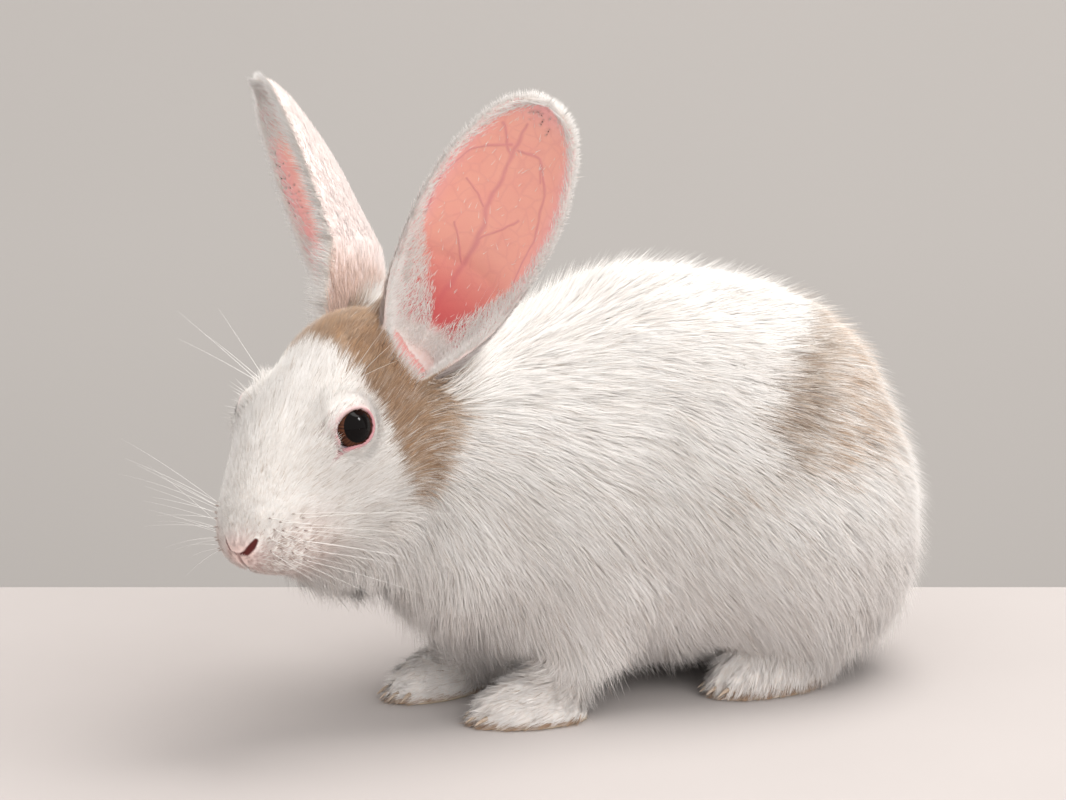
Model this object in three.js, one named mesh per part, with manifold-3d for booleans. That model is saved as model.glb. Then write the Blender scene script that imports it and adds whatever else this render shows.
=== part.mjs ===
// A young pet rabbit sitting at rest on all four feet, head low, ears up.
// Millimetres, +Z up, nose towards -Y, its left side towards +X, soles on z = 0.
// The outer form is the coat's outer surface, taken out to the tips of the hair.

import * as THREE from 'three';
import Module from 'manifold-3d';
import { mergeVertices } from 'three/addons/utils/BufferGeometryUtils.js';

// ---------------------------------------------------------------- driving dimensions

const GAP = 0.3;                        // thin cut between neighbouring parts
const SIDES = { left: 1, right: -1 };   // sign of X on each side of the animal

const HEAD = {
  at: [18.8, -102.1, 94.3],             // middle of the head, between the eyes and cheeks
  yaw: 28,                              // degrees turned to its left
  pitch: 43,                            // degrees nose down
};
const EYE = { radius: 7.4, at: [16.2, -0.4, 8.5] };   // in the head's own frame, left side

// From shoulder to toes each foreleg is one column and one foot, flat on the floor.
const FORELEG = {
  left: { x: 26.5, y: -35.5, shoulder: 21 },
  right: { x: -14, y: -48, shoulder: -18 },
  shoulderLift: 42, ankleLift: 15,
  toeIn: 12,                            // degrees the toes turn towards the middle
  foot: [12, 20.5, 15.5],
};
const HINDFOOT = { x: 30, y: 46, foot: [12.5, 21.5, 17.5], heelY: 62, heelRadius: 12 };

const EAR = {
  middle: [10, -95, 91],                // what the roots are measured from
  yaw: 15,                              // degrees their own fore-and-aft line turns to the left
  length: 100,
  wall: 3.0,                            // skin and short coat on both faces
  backTilt: 0.08,                       // slope of the axis towards the rear
  left: { lean: 33.5, turn: 42, root: [11, -22, 21] },
  right: { lean: 37, turn: 30, root: [12, -20, 21.5] },
  // Share of the length, width across the open cup (mm), half angle of the cup's arc (degrees).
  stations: [
    [0.00, 17, 150], [0.10, 23, 125], [0.27, 34.5, 95], [0.43, 39.5, 80], [0.62, 40.5, 71], [0.73, 38, 66],
    [0.80, 34.5, 63], [0.87, 30.5, 60], [0.93, 24.5, 57], [0.97, 17.5, 56], [0.99, 10.5, 55], [1.0, 2, 55],
  ],
};

// Spacing of the sampling planes, finer round the head and the feet.
const GRID = {
  x: [[-70, 70, 8.2]],
  y: [[-142, -58, 7], [-58, 126, 10]],
  z: [[-20, 28, 5.6], [28, 144, 9]],
};
const EGG_FACETS = [12, 8];             // round and down each egg-shaped cut
const EYE_FACETS = [12, 8];

const COLOUR = {
  white: 0xf1eee9, tan: 0xc3a888, ear: 0xe6b7a6, eye: 0x140d0b,
};

// ---------------------------------------------------------------- small vector helpers

const radians = (degrees) => degrees * Math.PI / 180;
const vec = (a) => new THREE.Vector3(...a);
const mirrored = ([x, y, z]) => [Math.abs(x), y, z];

// Axes of the head: left, back and up, for a head that points along -Y before it turns.
const headAxes = (() => {
  const yaw = radians(HEAD.yaw);
  const pitch = radians(HEAD.pitch);
  const left = new THREE.Vector3(Math.cos(yaw), Math.sin(yaw), 0);
  const nose = new THREE.Vector3(
    Math.sin(yaw) * Math.cos(pitch), -Math.cos(yaw) * Math.cos(pitch), -Math.sin(pitch));
  const back = nose.clone().negate();
  return { left, back, up: new THREE.Vector3().crossVectors(left, back) };
})();

const toHead = (p) => {
  const q = vec(p).sub(vec(HEAD.at));
  return [q.dot(headAxes.left), q.dot(headAxes.back), q.dot(headAxes.up)];
};

const fromHead = ([x, y, z]) => vec(HEAD.at)
  .addScaledVector(headAxes.left, x)
  .addScaledVector(headAxes.back, y)
  .addScaledVector(headAxes.up, z);

// ---------------------------------------------------------------- distance fields

// Each field gives the distance of a point from a surface, negative inside.

const ball = (p, centre, radii) => {
  let near = 0;
  let far = 0;
  for (let i = 0; i < 3; i += 1) {
    const q = p[i] - centre[i];
    near += (q / radii[i]) ** 2;
    far += (q / radii[i] ** 2) ** 2;
  }
  return Math.sqrt(near) * (Math.sqrt(near) - 1) / (Math.sqrt(far) + 1e-9);
};

const limb = (p, start, end, startRadius, endRadius) => {
  const along = end.map((v, i) => v - start[i]);
  const length2 = along.reduce((sum, v) => sum + v * v, 0);
  const dot = along.reduce((sum, v, i) => sum + v * (p[i] - start[i]), 0);
  const h = Math.min(1, Math.max(0, dot / length2));
  const off = Math.hypot(...along.map((v, i) => p[i] - start[i] - h * v));
  return off - (startRadius + (endRadius - startRadius) * h);
};

// Union of two fields with a fillet of about the given size.
const blend = (a, b, size) => {
  const h = Math.min(1, Math.max(0, 0.5 + 0.5 * (b - a) / size));
  return b * (1 - h) + a * h - size * h * (1 - h);
};

const join = (first, ...others) => others.reduce((d, [next, size]) => blend(d, next, size), first);

const headField = (p) => {
  const m = mirrored(toHead(p));
  return join(
    ball(m, [0, 15, 0.5], [20, 30, 22.5]),                // skull
    [ball(m, [0, -10, 3.5], [17.5, 29, 18.5]), 10],       // face
    [ball(m, [0, -30.5, -1.5], [16.3, 15.8, 14.2]), 8],   // muzzle
    [ball(m, [8.3, -31.5, -4.5], [8.9, 11.4, 8]), 5],     // whisker pads
    [ball(m, [13, 2, -12], [12, 23, 15]), 9],             // cheeks
    [ball(m, [11.5, -2, 10], [6.5, 11, 7.5]), 8],         // brows
    [ball(m, [10, -13, -10], [10, 20, 12.5]), 9],         // jowls
    [ball(m, [11, -13, 1], [7.5, 13, 9]), 8],             // cheekbones
    [ball(m, [0, -20, -16], [9, 16, 7]), 6],              // chin
    [ball(m, [0, -2, -21], [13, 20, 10]), 8],             // jaw
    [ball(m, [0, -41, 2], [6, 5, 5.5]), 5],               // nose
  );
};

const trunkField = (p) => {
  const m = mirrored(p);
  return join(
    ball(m, [0, 53, 68], [50, 55, 60]),                   // rump
    [ball(m, [0, 12, 72], [46, 52, 65]), 25],             // back
    [ball(m, [0, -28, 62], [38, 42, 52]), 25],            // chest
    [ball(m, [24, 60, 51], [34, 43, 38]), 18],            // thighs
    [ball(m, [14, 66, 33], [34, 41, 27]), 12],            // coat that hangs over the heels
    [limb(p, [0, -30, 78], [6, -74, 86], 36, 27), 20],    // neck
    [ball(p, [9, -58, 54], [27, 20, 26]), 16],            // throat
    [ball(m, [0, 2, 40], [35, 48, 27]), 14],              // belly
  );
};

const forelegField = (p, { x, y, shoulder }) => {
  const { shoulderLift, ankleLift, foot } = FORELEG;
  const column = limb(p, [shoulder, y + 24, shoulderLift], [x, y + 12, ankleLift], 20, 12);
  const a = radians(FORELEG.toeIn) * Math.sign(x);
  const [u, v] = [p[0] - x, p[1] - y];
  const turned = [u * Math.cos(a) - v * Math.sin(a), u * Math.sin(a) + v * Math.cos(a), p[2]];
  return blend(column, ball(turned, [0, 0, 0.5], foot), 6);
};

const hindfootField = (p) => {
  const m = mirrored(p);
  const { x, y, foot, heelY, heelRadius } = HINDFOOT;
  const heel = limb(m, [x, heelY, 11], [x, heelY - 8, 9], heelRadius, heelRadius - 1);
  return blend(ball(m, [x, y, 1.5], foot), heel, 8);
};

const RUFF = { at: [13, -90, 62], radii: [20, 26, 19] };    // the hair that hangs from cheeks and throat
const TAIL = { at: [0, 105, 42], radii: [14, 12, 21] };

const bodyField = (p) => join(
  trunkField(p),
  [headField(p), 17],
  [ball(p, RUFF.at, RUFF.radii), 14],
  [forelegField(p, FORELEG.left), 10],
  [forelegField(p, FORELEG.right), 10],
  [hindfootField(p), 6],
  [ball(p, TAIL.at, TAIL.radii), 8],
);

// ---------------------------------------------------------------- from field to mesh

const planes = (runs) => {
  const out = [];
  for (const [from, to, step] of runs) {
    const count = Math.round((to - from) / step);
    for (let i = 0; i < count; i += 1) out.push(from + (to - from) * i / count);
  }
  out.push(runs.at(-1)[1]);
  return out;
};

// Moves a point onto the zero surface of a field along the field's slope.
const settle = (field, point) => {
  const reach = 0.2;
  let p = point;
  for (let pass = 0; pass < 3; pass += 1) {
    const slope = [0, 1, 2].map((i) => {
      const ahead = p.map((v, j) => v + (i === j ? reach : 0));
      const behind = p.map((v, j) => v - (i === j ? reach : 0));
      return (field(ahead) - field(behind)) / (2 * reach);
    });
    const size2 = slope.reduce((sum, v) => sum + v * v, 0) + 1e-9;
    const push = field(p) / size2;
    p = p.map((v, i) => v - slope[i] * push);
  }
  return p;
};

// Surface nets: one vertex in each cell that the surface crosses, one quad round each crossed edge.
const surfaceNets = (field, xs, ys, zs) => {
  const size = [xs.length, ys.length, zs.length];
  const index = (i, j, k) => (i * size[1] + j) * size[2] + k;
  const value = new Float64Array(size[0] * size[1] * size[2]);
  for (let i = 0; i < size[0]; i += 1) {
    for (let j = 0; j < size[1]; j += 1) {
      for (let k = 0; k < size[2]; k += 1) value[index(i, j, k)] = field([xs[i], ys[j], zs[k]]);
    }
  }
  const axes = [xs, ys, zs];
  const corners = [0, 1, 2, 3, 4, 5, 6, 7].map((n) => [n & 1, (n >> 1) & 1, (n >> 2) & 1]);
  const edges = [];
  corners.forEach((a, m) => corners.forEach((b, n) => {
    const apart = Math.abs(a[0] - b[0]) + Math.abs(a[1] - b[1]) + Math.abs(a[2] - b[2]);
    if (n > m && apart === 1) edges.push([a, b]);
  }));

  const vertexOf = new Map();
  const positions = [];
  const cellVertex = (cell) => {
    const key = index(...cell);
    if (vertexOf.has(key)) return vertexOf.get(key);
    const sum = [0, 0, 0];
    let crossed = 0;
    for (const [a, b] of edges) {
      const va = value[index(cell[0] + a[0], cell[1] + a[1], cell[2] + a[2])];
      const vb = value[index(cell[0] + b[0], cell[1] + b[1], cell[2] + b[2])];
      if ((va < 0) === (vb < 0)) continue;
      const t = va / (va - vb);
      for (let n = 0; n < 3; n += 1) {
        const from = axes[n][cell[n] + a[n]];
        const to = axes[n][cell[n] + b[n]];
        sum[n] += from + (to - from) * t;
      }
      crossed += 1;
    }
    const vertex = positions.length / 3;
    positions.push(...settle(field, sum.map((v) => v / crossed)));
    vertexOf.set(key, vertex);
    return vertex;
  };

  const triangles = [];
  for (let i = 0; i < size[0] - 1; i += 1) {
    for (let j = 0; j < size[1] - 1; j += 1) {
      for (let k = 0; k < size[2] - 1; k += 1) {
        for (let n = 0; n < 3; n += 1) {
          const u = (n + 1) % 3;
          const v = (n + 2) % 3;
          const far = [i, j, k];
          if (far[u] === 0 || far[v] === 0) continue;
          far[n] += 1;
          const inside = value[index(i, j, k)] < 0;
          if (inside === (value[index(...far)] < 0)) continue;
          const [a, b, c, d] = [[1, 1], [0, 1], [0, 0], [1, 0]].map(([du, dv]) => {
            const cell = [i, j, k];
            cell[u] -= du;
            cell[v] -= dv;
            return cellVertex(cell);
          });
          if (inside) triangles.push(a, b, c, a, c, d);
          else triangles.push(a, c, b, a, d, c);
        }
      }
    }
  }
  return { positions, triangles };
};

// ---------------------------------------------------------------- solids: cutting and joining

const wasm = await Module();
wasm.setup();

const solidOf = (positions, triangles) => new wasm.Manifold(new wasm.Mesh({
  numProp: 3,
  vertProperties: new Float32Array(positions),
  triVerts: new Uint32Array(triangles),
}));

const solidFrom = (geometry) => {
  const bare = geometry.clone();
  bare.deleteAttribute('normal');
  bare.deleteAttribute('uv');
  const merged = mergeVertices(bare, 1e-4);
  return solidOf(merged.attributes.position.array, merged.index.array);
};

const geometryFrom = (solid) => {
  const { vertProperties, numProp, triVerts } = solid.getMesh();
  const positions = [];
  for (let i = 0; i < vertProperties.length; i += numProp) {
    positions.push(vertProperties[i], vertProperties[i + 1], vertProperties[i + 2]);
  }
  const geometry = new THREE.BufferGeometry();
  geometry.setAttribute('position', new THREE.Float32BufferAttribute(positions, 3));
  geometry.setIndex([...triVerts]);
  geometry.computeVertexNormals();
  return geometry;
};

// A cutter is a function of how much it is grown on every side.

const eggCutter = (centre, radii, facets = EGG_FACETS) => (grow) => solidFrom(
  new THREE.SphereGeometry(1, ...facets)
    .scale(...radii.map((r) => r + grow))
    .translate(...centre));

// Everything on the inner side of each plane, which is given by a point and a normal.
const wedgeCutter = (...sides) => (grow) => {
  const reach = 400;
  return sides.map(([point, normal]) => {
    const n = vec(normal).normalize();
    const centre = vec(point).addScaledVector(n, grow - reach / 2);
    const turn = new THREE.Quaternion().setFromUnitVectors(new THREE.Vector3(0, 0, 1), n);
    return solidFrom(new THREE.BoxGeometry(reach, reach, reach)
      .applyQuaternion(turn)
      .translate(...centre.toArray()));
  }).reduce((a, b) => a.intersect(b));
};

// ---------------------------------------------------------------- ears

// Value of one column of the stations at a share of the length, along smooth arcs.
const stationValue = (share, column) => {
  const rows = EAR.stations;
  let i = 0;
  while (i < rows.length - 2 && share > rows[i + 1][0]) i += 1;
  const [a, b] = [rows[i], rows[i + 1]];
  const slope = (n) => {
    const low = rows[Math.max(0, n - 1)];
    const high = rows[Math.min(rows.length - 1, n + 1)];
    return (high[column] - low[column]) / (high[0] - low[0]);
  };
  const span = b[0] - a[0];
  const u = (share - a[0]) / span;
  return (2 * u ** 3 - 3 * u ** 2 + 1) * a[column] + (u ** 3 - 2 * u ** 2 + u) * span * slope(i)
    + (3 * u ** 2 - 2 * u ** 3) * b[column] + (u ** 3 - u ** 2) * span * slope(i + 1);
};

// One ear is a cup, open on one side: arcs across its axis, from the root to the tip.
const earFrame = (side) => {
  const { lean, turn, root } = EAR[side];
  const yaw = radians(EAR.yaw);
  const nose = new THREE.Vector3(Math.sin(yaw), -Math.cos(yaw), 0);
  const out = new THREE.Vector3(Math.cos(yaw), Math.sin(yaw), 0).multiplyScalar(SIDES[side]);
  const axis = new THREE.Vector3(0, 0, Math.cos(radians(lean)))
    .addScaledVector(out, Math.sin(radians(lean)))
    .addScaledVector(nose, -EAR.backTilt)
    .normalize();
  const face = out.clone().multiplyScalar(Math.sin(radians(turn)))
    .addScaledVector(nose, Math.cos(radians(turn)));
  face.addScaledVector(axis, -face.dot(axis)).normalize();
  const across = new THREE.Vector3().crossVectors(axis, face);
  const base = vec(EAR.middle).addScaledVector(out, root[0]).addScaledVector(nose, root[1]);
  base.z += root[2];
  return { axis, face, across, base };
};

const earSolid = (side, grow) => {
  const { axis, face, across, base } = earFrame(side);
  const rows = 12;
  const columns = 8;
  const half = EAR.wall / 2 + grow;
  const positions = [];
  const layers = [];                    // [outer, inner][row][column] holds a vertex number
  for (const layer of [1, -1]) {
    const grid = [];
    for (let i = 0; i <= rows; i += 1) {
      const share = Math.sin(i / rows * Math.PI / 2);
      const open = Math.min(radians(stationValue(share, 2)), radians(150));
      const radius = stationValue(share, 1) / 2 / (open > Math.PI / 2 ? 1 : Math.sin(open));
      const wall = Math.min(half, radius * 0.8);
      const past = (share - 0.5) * 2 * grow;
      const line = [];
      for (let j = 0; j <= columns; j += 1) {
        const spread = open + grow / radius;
        const angle = (j / columns * 2 - 1) * spread;
        const r = radius + layer * wall;
        const p = base.clone()
          .addScaledVector(axis, share * EAR.length + past)
          .addScaledVector(across, r * Math.sin(angle))
          .addScaledVector(face, radius * Math.max(0, Math.cos(open)) - r * Math.cos(angle));
        line.push(positions.length / 3);
        positions.push(...p.toArray());
      }
      grid.push(line);
    }
    layers.push(grid);
  }
  const [outer, inner] = layers;
  const triangles = [];
  const quad = (a, b, c, d) => triangles.push(a, b, c, a, c, d);
  for (let i = 0; i < rows; i += 1) {
    for (let j = 0; j < columns; j += 1) {
      quad(outer[i][j], outer[i + 1][j], outer[i + 1][j + 1], outer[i][j + 1]);
      quad(inner[i][j], inner[i][j + 1], inner[i + 1][j + 1], inner[i + 1][j]);
    }
    quad(outer[i][0], inner[i][0], inner[i + 1][0], outer[i + 1][0]);
    quad(outer[i][columns], outer[i + 1][columns], inner[i + 1][columns], inner[i][columns]);
  }
  for (let j = 0; j < columns; j += 1) {
    quad(outer[0][j], outer[0][j + 1], inner[0][j + 1], inner[0][j]);
    quad(outer[rows][j], inner[rows][j], inner[rows][j + 1], outer[rows][j + 1]);
  }
  return solidOf(positions, triangles);
};

// ---------------------------------------------------------------- dividing the body

const rabbit = new THREE.Group();

const add = (name, solid, colour, roughness = 0.9) => {
  const material = new THREE.MeshStandardMaterial({ color: colour, roughness, metalness: 0 });
  const mesh = new THREE.Mesh(geometryFrom(solid), material);
  mesh.name = name;
  rabbit.add(mesh);
};

const { positions, triangles } = surfaceNets(
  bodyField, planes(GRID.x), planes(GRID.y), planes(GRID.z));
const floor = wedgeCutter([[0, 0, 0], [0, 0, 1]]);
let rest = solidOf(positions, triangles).subtract(floor(0));

// Takes a part off what is left of the body, leaving a thin gap round it.
const take = (cutter) => {
  const piece = rest.intersect(cutter(0));
  rest = rest.subtract(cutter(GAP));
  return piece;
};

for (const [side, sign] of Object.entries(SIDES)) {
  const { x, y } = FORELEG[side];
  const leg = take(eggCutter([x, y - 2, 6], [17.5, 32, 34]));
  const wrist = [[x, y - 4, 16], [0, 0.4, 0.92]];
  const pawCutter = wedgeCutter(wrist);
  add(`forepaw_${side}`, leg.intersect(pawCutter(0)), COLOUR.white);
  add(`foreleg_${side}`, leg.subtract(pawCutter(GAP)), COLOUR.white);

  const { x: footX, y: footY } = HINDFOOT;
  add(`hindfoot_${side}`, take(eggCutter([sign * footX, footY, 6], [17, 30, 14])), COLOUR.white);
  add(`thigh_${side}`, take(eggCutter([sign * 42, 58, 48], [26, 43, 39])), COLOUR.white);
}
add('tail', take(eggCutter([0, 112, 43], [17, 14, 26])), COLOUR.white);

// The head lies in front of the nape and above the line under the jaw.
const nape = [[4, -52, 95], [-0.17, 0.98, 0]];
const underJaw = [[4, -85, 52], [0, 0.6, -0.8]];
let head = take(wedgeCutter(nape, underJaw));
// The neck runs back to a slope from the withers down to the breast.
let neck = take(wedgeCutter([[0, -33, 105], [0, 0.93, -0.37]]));

for (const [side, sign] of Object.entries(SIDES)) {
  head = head.subtract(earSolid(side, GAP));
  neck = neck.subtract(earSolid(side, GAP));
  rest = rest.subtract(earSolid(side, GAP));
  add(`ear_${side}`, earSolid(side, 0), COLOUR.ear);

  const [ex, ey, ez] = EYE.at;
  const centre = fromHead([sign * ex, ey, ez]).toArray();
  const eye = eggCutter(centre, [EYE.radius, EYE.radius, EYE.radius], EYE_FACETS);
  head = head.subtract(eye(GAP));
  add(`eye_${side}`, eye(0), COLOUR.eye, 0.1);
}
add('head', head, COLOUR.tan);
add('neck', neck, COLOUR.white);
add('trunk', rest, COLOUR.white);

// The origin is under the middle of the whole animal, on the floor.
const box = new THREE.Box3().setFromObject(rabbit);
rabbit.position.set(-(box.min.x + box.max.x) / 2, -(box.min.y + box.max.y) / 2, 0);

export default rabbit;
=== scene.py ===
"""The looks of a life-size rabbit round its packed solids: skin, coat, eyes, claws, whiskers, stage.

The body's form is worked out in millimetres, in the solids' design frame: nose towards -Y, the left side
towards +X, soles on z = 0. ORIGIN and MM carry a finished mesh into the row frame, in metres.
"""

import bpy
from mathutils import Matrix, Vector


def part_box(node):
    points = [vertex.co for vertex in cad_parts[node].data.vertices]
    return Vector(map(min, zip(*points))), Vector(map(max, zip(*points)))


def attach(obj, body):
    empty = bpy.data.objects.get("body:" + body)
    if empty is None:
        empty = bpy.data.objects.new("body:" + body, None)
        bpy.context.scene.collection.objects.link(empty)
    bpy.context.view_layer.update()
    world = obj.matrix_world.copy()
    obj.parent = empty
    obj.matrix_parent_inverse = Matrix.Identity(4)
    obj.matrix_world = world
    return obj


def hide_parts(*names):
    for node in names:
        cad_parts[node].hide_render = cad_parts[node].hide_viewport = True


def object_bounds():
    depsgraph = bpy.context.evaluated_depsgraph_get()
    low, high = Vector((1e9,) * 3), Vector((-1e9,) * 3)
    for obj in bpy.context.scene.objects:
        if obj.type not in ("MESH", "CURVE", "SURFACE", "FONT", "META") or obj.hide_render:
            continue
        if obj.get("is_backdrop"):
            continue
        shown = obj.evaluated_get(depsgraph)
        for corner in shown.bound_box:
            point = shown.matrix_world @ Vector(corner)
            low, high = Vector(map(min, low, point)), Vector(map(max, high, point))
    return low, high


bl_info = {
    "name": "Sitting rabbit",
    "version": (1, 0, 0),
    "blender": (4, 5, 0),
    "location": "View3D > Sidebar > Rabbit",
    "description": "Skin, coat, eyes, claws and whiskers of a life-size rabbit model",
    "category": "Object",
}

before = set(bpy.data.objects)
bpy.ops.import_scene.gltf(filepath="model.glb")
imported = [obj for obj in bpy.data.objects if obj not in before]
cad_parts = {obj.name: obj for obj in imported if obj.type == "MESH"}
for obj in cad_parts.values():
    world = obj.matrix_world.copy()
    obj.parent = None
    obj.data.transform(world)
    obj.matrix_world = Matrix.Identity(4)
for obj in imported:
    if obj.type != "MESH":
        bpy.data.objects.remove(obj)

import math

import bpy
import numpy as np
from bpy.props import FloatProperty, FloatVectorProperty, PointerProperty
from mathutils import Vector
from mathutils.kdtree import KDTree

CAD_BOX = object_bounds()
BODY = "root"
MM = 0.001
SIDES = {"left": 1, "right": -1}        # sign of X on each side of the animal


# ---------------------------------------------------------------- small tools

def vec(*numbers):
    return np.array(numbers, float)


def unit(v):
    v = np.asarray(v, float)
    return v / np.maximum(np.linalg.norm(v, axis=-1, keepdims=True), 1e-9)


def dot(a, b):
    return (a * b).sum(-1)


def ease(x, low, high):
    """0 below low, 1 above high, and a smooth rise between; low above high turns it round."""
    t = np.clip((x - low) / (high - low), 0, 1)
    return t * t * (3 - 2 * t)


def mix(a, b, share):
    return a + (b - a) * share


def along_tangent(direction, normal):
    """The part of a direction that lies in the surface, at length 1."""
    return unit(direction - dot(direction, normal)[..., None] * normal)


class Noise:
    """Smooth seeded noise from -1 to 1 in space, from a small repeating lattice of numbers."""

    CELLS = 32

    def __init__(self, seed):
        self.table = np.random.default_rng(seed).uniform(-1, 1, (self.CELLS,) * 3)

    def __call__(self, p, size):
        q = p / size
        cell = np.floor(q).astype(int)
        f = q - cell
        f = f * f * (3 - 2 * f)
        total = 0
        for corner in np.ndindex(2, 2, 2):
            weight = np.prod(np.where(corner, f, 1 - f), axis=-1)
            x, y, z = np.moveaxis((cell + corner) % self.CELLS, -1, 0)
            total = total + weight * self.table[x, y, z]
        return total


# ---------------------------------------------------------------- distance fields

def ball(p, centre, radii):
    """About the distance to an egg with those half axes, below 0 inside it."""
    q = (p - np.array(centre)) / np.array(radii)
    k0 = np.sqrt(dot(q, q)) + 1e-9
    q = q / np.array(radii)
    return k0 * (k0 - 1) / (np.sqrt(dot(q, q)) + 1e-9)


def limb(p, start, end, start_radius, end_radius):
    start, end = np.array(start, float), np.array(end, float)
    axis = end - start
    h = np.clip((p - start) @ axis / (axis @ axis), 0, 1)
    off = p - start - h[..., None] * axis
    return np.sqrt(dot(off, off)) - mix(start_radius, end_radius, h)


def blend(a, b, size):
    """Union of two fields with a fillet of about that size."""
    h = np.clip(0.5 + 0.5 * (b - a) / size, 0, 1)
    return b * (1 - h) + a * h - size * h * (1 - h)


def carve(a, b, size):
    """Field a without field b, with a rounded lip."""
    return -blend(-a, b, size)


def mirrored(p):
    return np.stack([np.abs(p[..., 0]), p[..., 1], p[..., 2]], -1)


# ---------------------------------------------------------------- the head's own frame

HEAD = vec(18.8, -102.1, 94.3)          # middle of the head, between the eyes and cheeks
HEAD_YAW = math.radians(28)             # turned to its left
HEAD_PITCH = math.radians(43)           # nose down
LEFT = vec(math.cos(HEAD_YAW), math.sin(HEAD_YAW), 0)
BACK = vec(
    -math.sin(HEAD_YAW) * math.cos(HEAD_PITCH),
    math.cos(HEAD_YAW) * math.cos(HEAD_PITCH),
    math.sin(HEAD_PITCH),
)
HEAD_AXES = np.stack([LEFT, BACK, np.cross(LEFT, BACK)], 1)    # columns: left, back, up

EYE = vec(16.2, -0.4, 8.5)              # in the head's frame, left side
EYE_RADIUS = 7.4
EYE_LOOK = unit(vec(0.909, -0.228, 0.348))
EYE_BACK = unit(np.cross(vec(0, 0, 1), EYE_LOOK))
EYE_UP = np.cross(EYE_LOOK, EYE_BACK)
NOSE_TIP = vec(1.5, -45.5, 4)


def to_head(p):
    return (p - HEAD) @ HEAD_AXES


def from_head(q):
    return HEAD + np.asarray(q) @ HEAD_AXES.T


# The eye's middle is where the packed model has it, which gives the design origin in the row frame.
EYE_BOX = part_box("eye_left")
ORIGIN = np.array(sum(EYE_BOX, Vector()) / 2) / MM - from_head(EYE)


# ---------------------------------------------------------------- ears

EAR_MIDDLE = vec(10, -95, 91)           # what the roots are measured from
EAR_YAW = math.radians(15)
EAR_LENGTH = 98.4                       # of the skin: the coat's fringe reaches 1.6 mm farther
EAR_TRIM = 1.6                          # from the skin's margins out to the coat's outline
EAR_BACK_TILT = 0.08
EAR_SHAPES = {
    "left": {"lean": 33.5, "turn": 42, "root": (11, -22, 21), "cap": 1.0, "front_fringe": 1.0},
    "right": {"lean": 37, "turn": 30, "root": (12, -20, 21.5), "cap": 0.84, "front_fringe": 2.0},
}
# Share of the length, width across the open cup, half angle of the cup's arc in degrees.
EAR_STATIONS = np.array((
    (0.00, 17, 150), (0.10, 23, 125), (0.27, 34.5, 95), (0.43, 39.5, 80), (0.62, 40.5, 71), (0.73, 38, 66),
    (0.80, 34.5, 63), (0.87, 30.5, 60), (0.93, 24.5, 57), (0.97, 17.5, 56), (0.99, 10.5, 55), (1.0, 2, 55),
))
EAR_SINK = 0.10                         # share of the length that runs on below the root, inside the head
EAR_LOWEST = 98                         # no part of an ear's sheet is lower than this


def through_stations(share, column):
    """A smooth curve through one column of the ear's stations."""
    xs, ys = EAR_STATIONS[:, 0], EAR_STATIONS[:, column]
    slopes = np.gradient(ys, xs)
    i = np.clip(np.searchsorted(xs, share) - 1, 0, len(xs) - 2)
    span = xs[i + 1] - xs[i]
    u = (share - xs[i]) / span
    return ((2 * u**3 - 3 * u**2 + 1) * ys[i] + (u**3 - 2 * u**2 + u) * span * slopes[i]
            + (3 * u**2 - 2 * u**3) * ys[i + 1] + (u**3 - u**2) * span * slopes[i + 1])


EAR_SHARES = np.linspace(0, 1, 401)
EAR_WIDTHS = through_stations(EAR_SHARES, 1)
OUTLINE_REACHES = np.radians(np.minimum(through_stations(EAR_SHARES, 2), 150))
EAR_RADII = EAR_WIDTHS / 2 / np.where(OUTLINE_REACHES > math.pi / 2, 1, np.sin(OUTLINE_REACHES))
EAR_CENTRES = EAR_RADII * np.maximum(0, np.cos(OUTLINE_REACHES))
EAR_REACHES = np.maximum(OUTLINE_REACHES - EAR_TRIM / EAR_RADII, 0.12)


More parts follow.
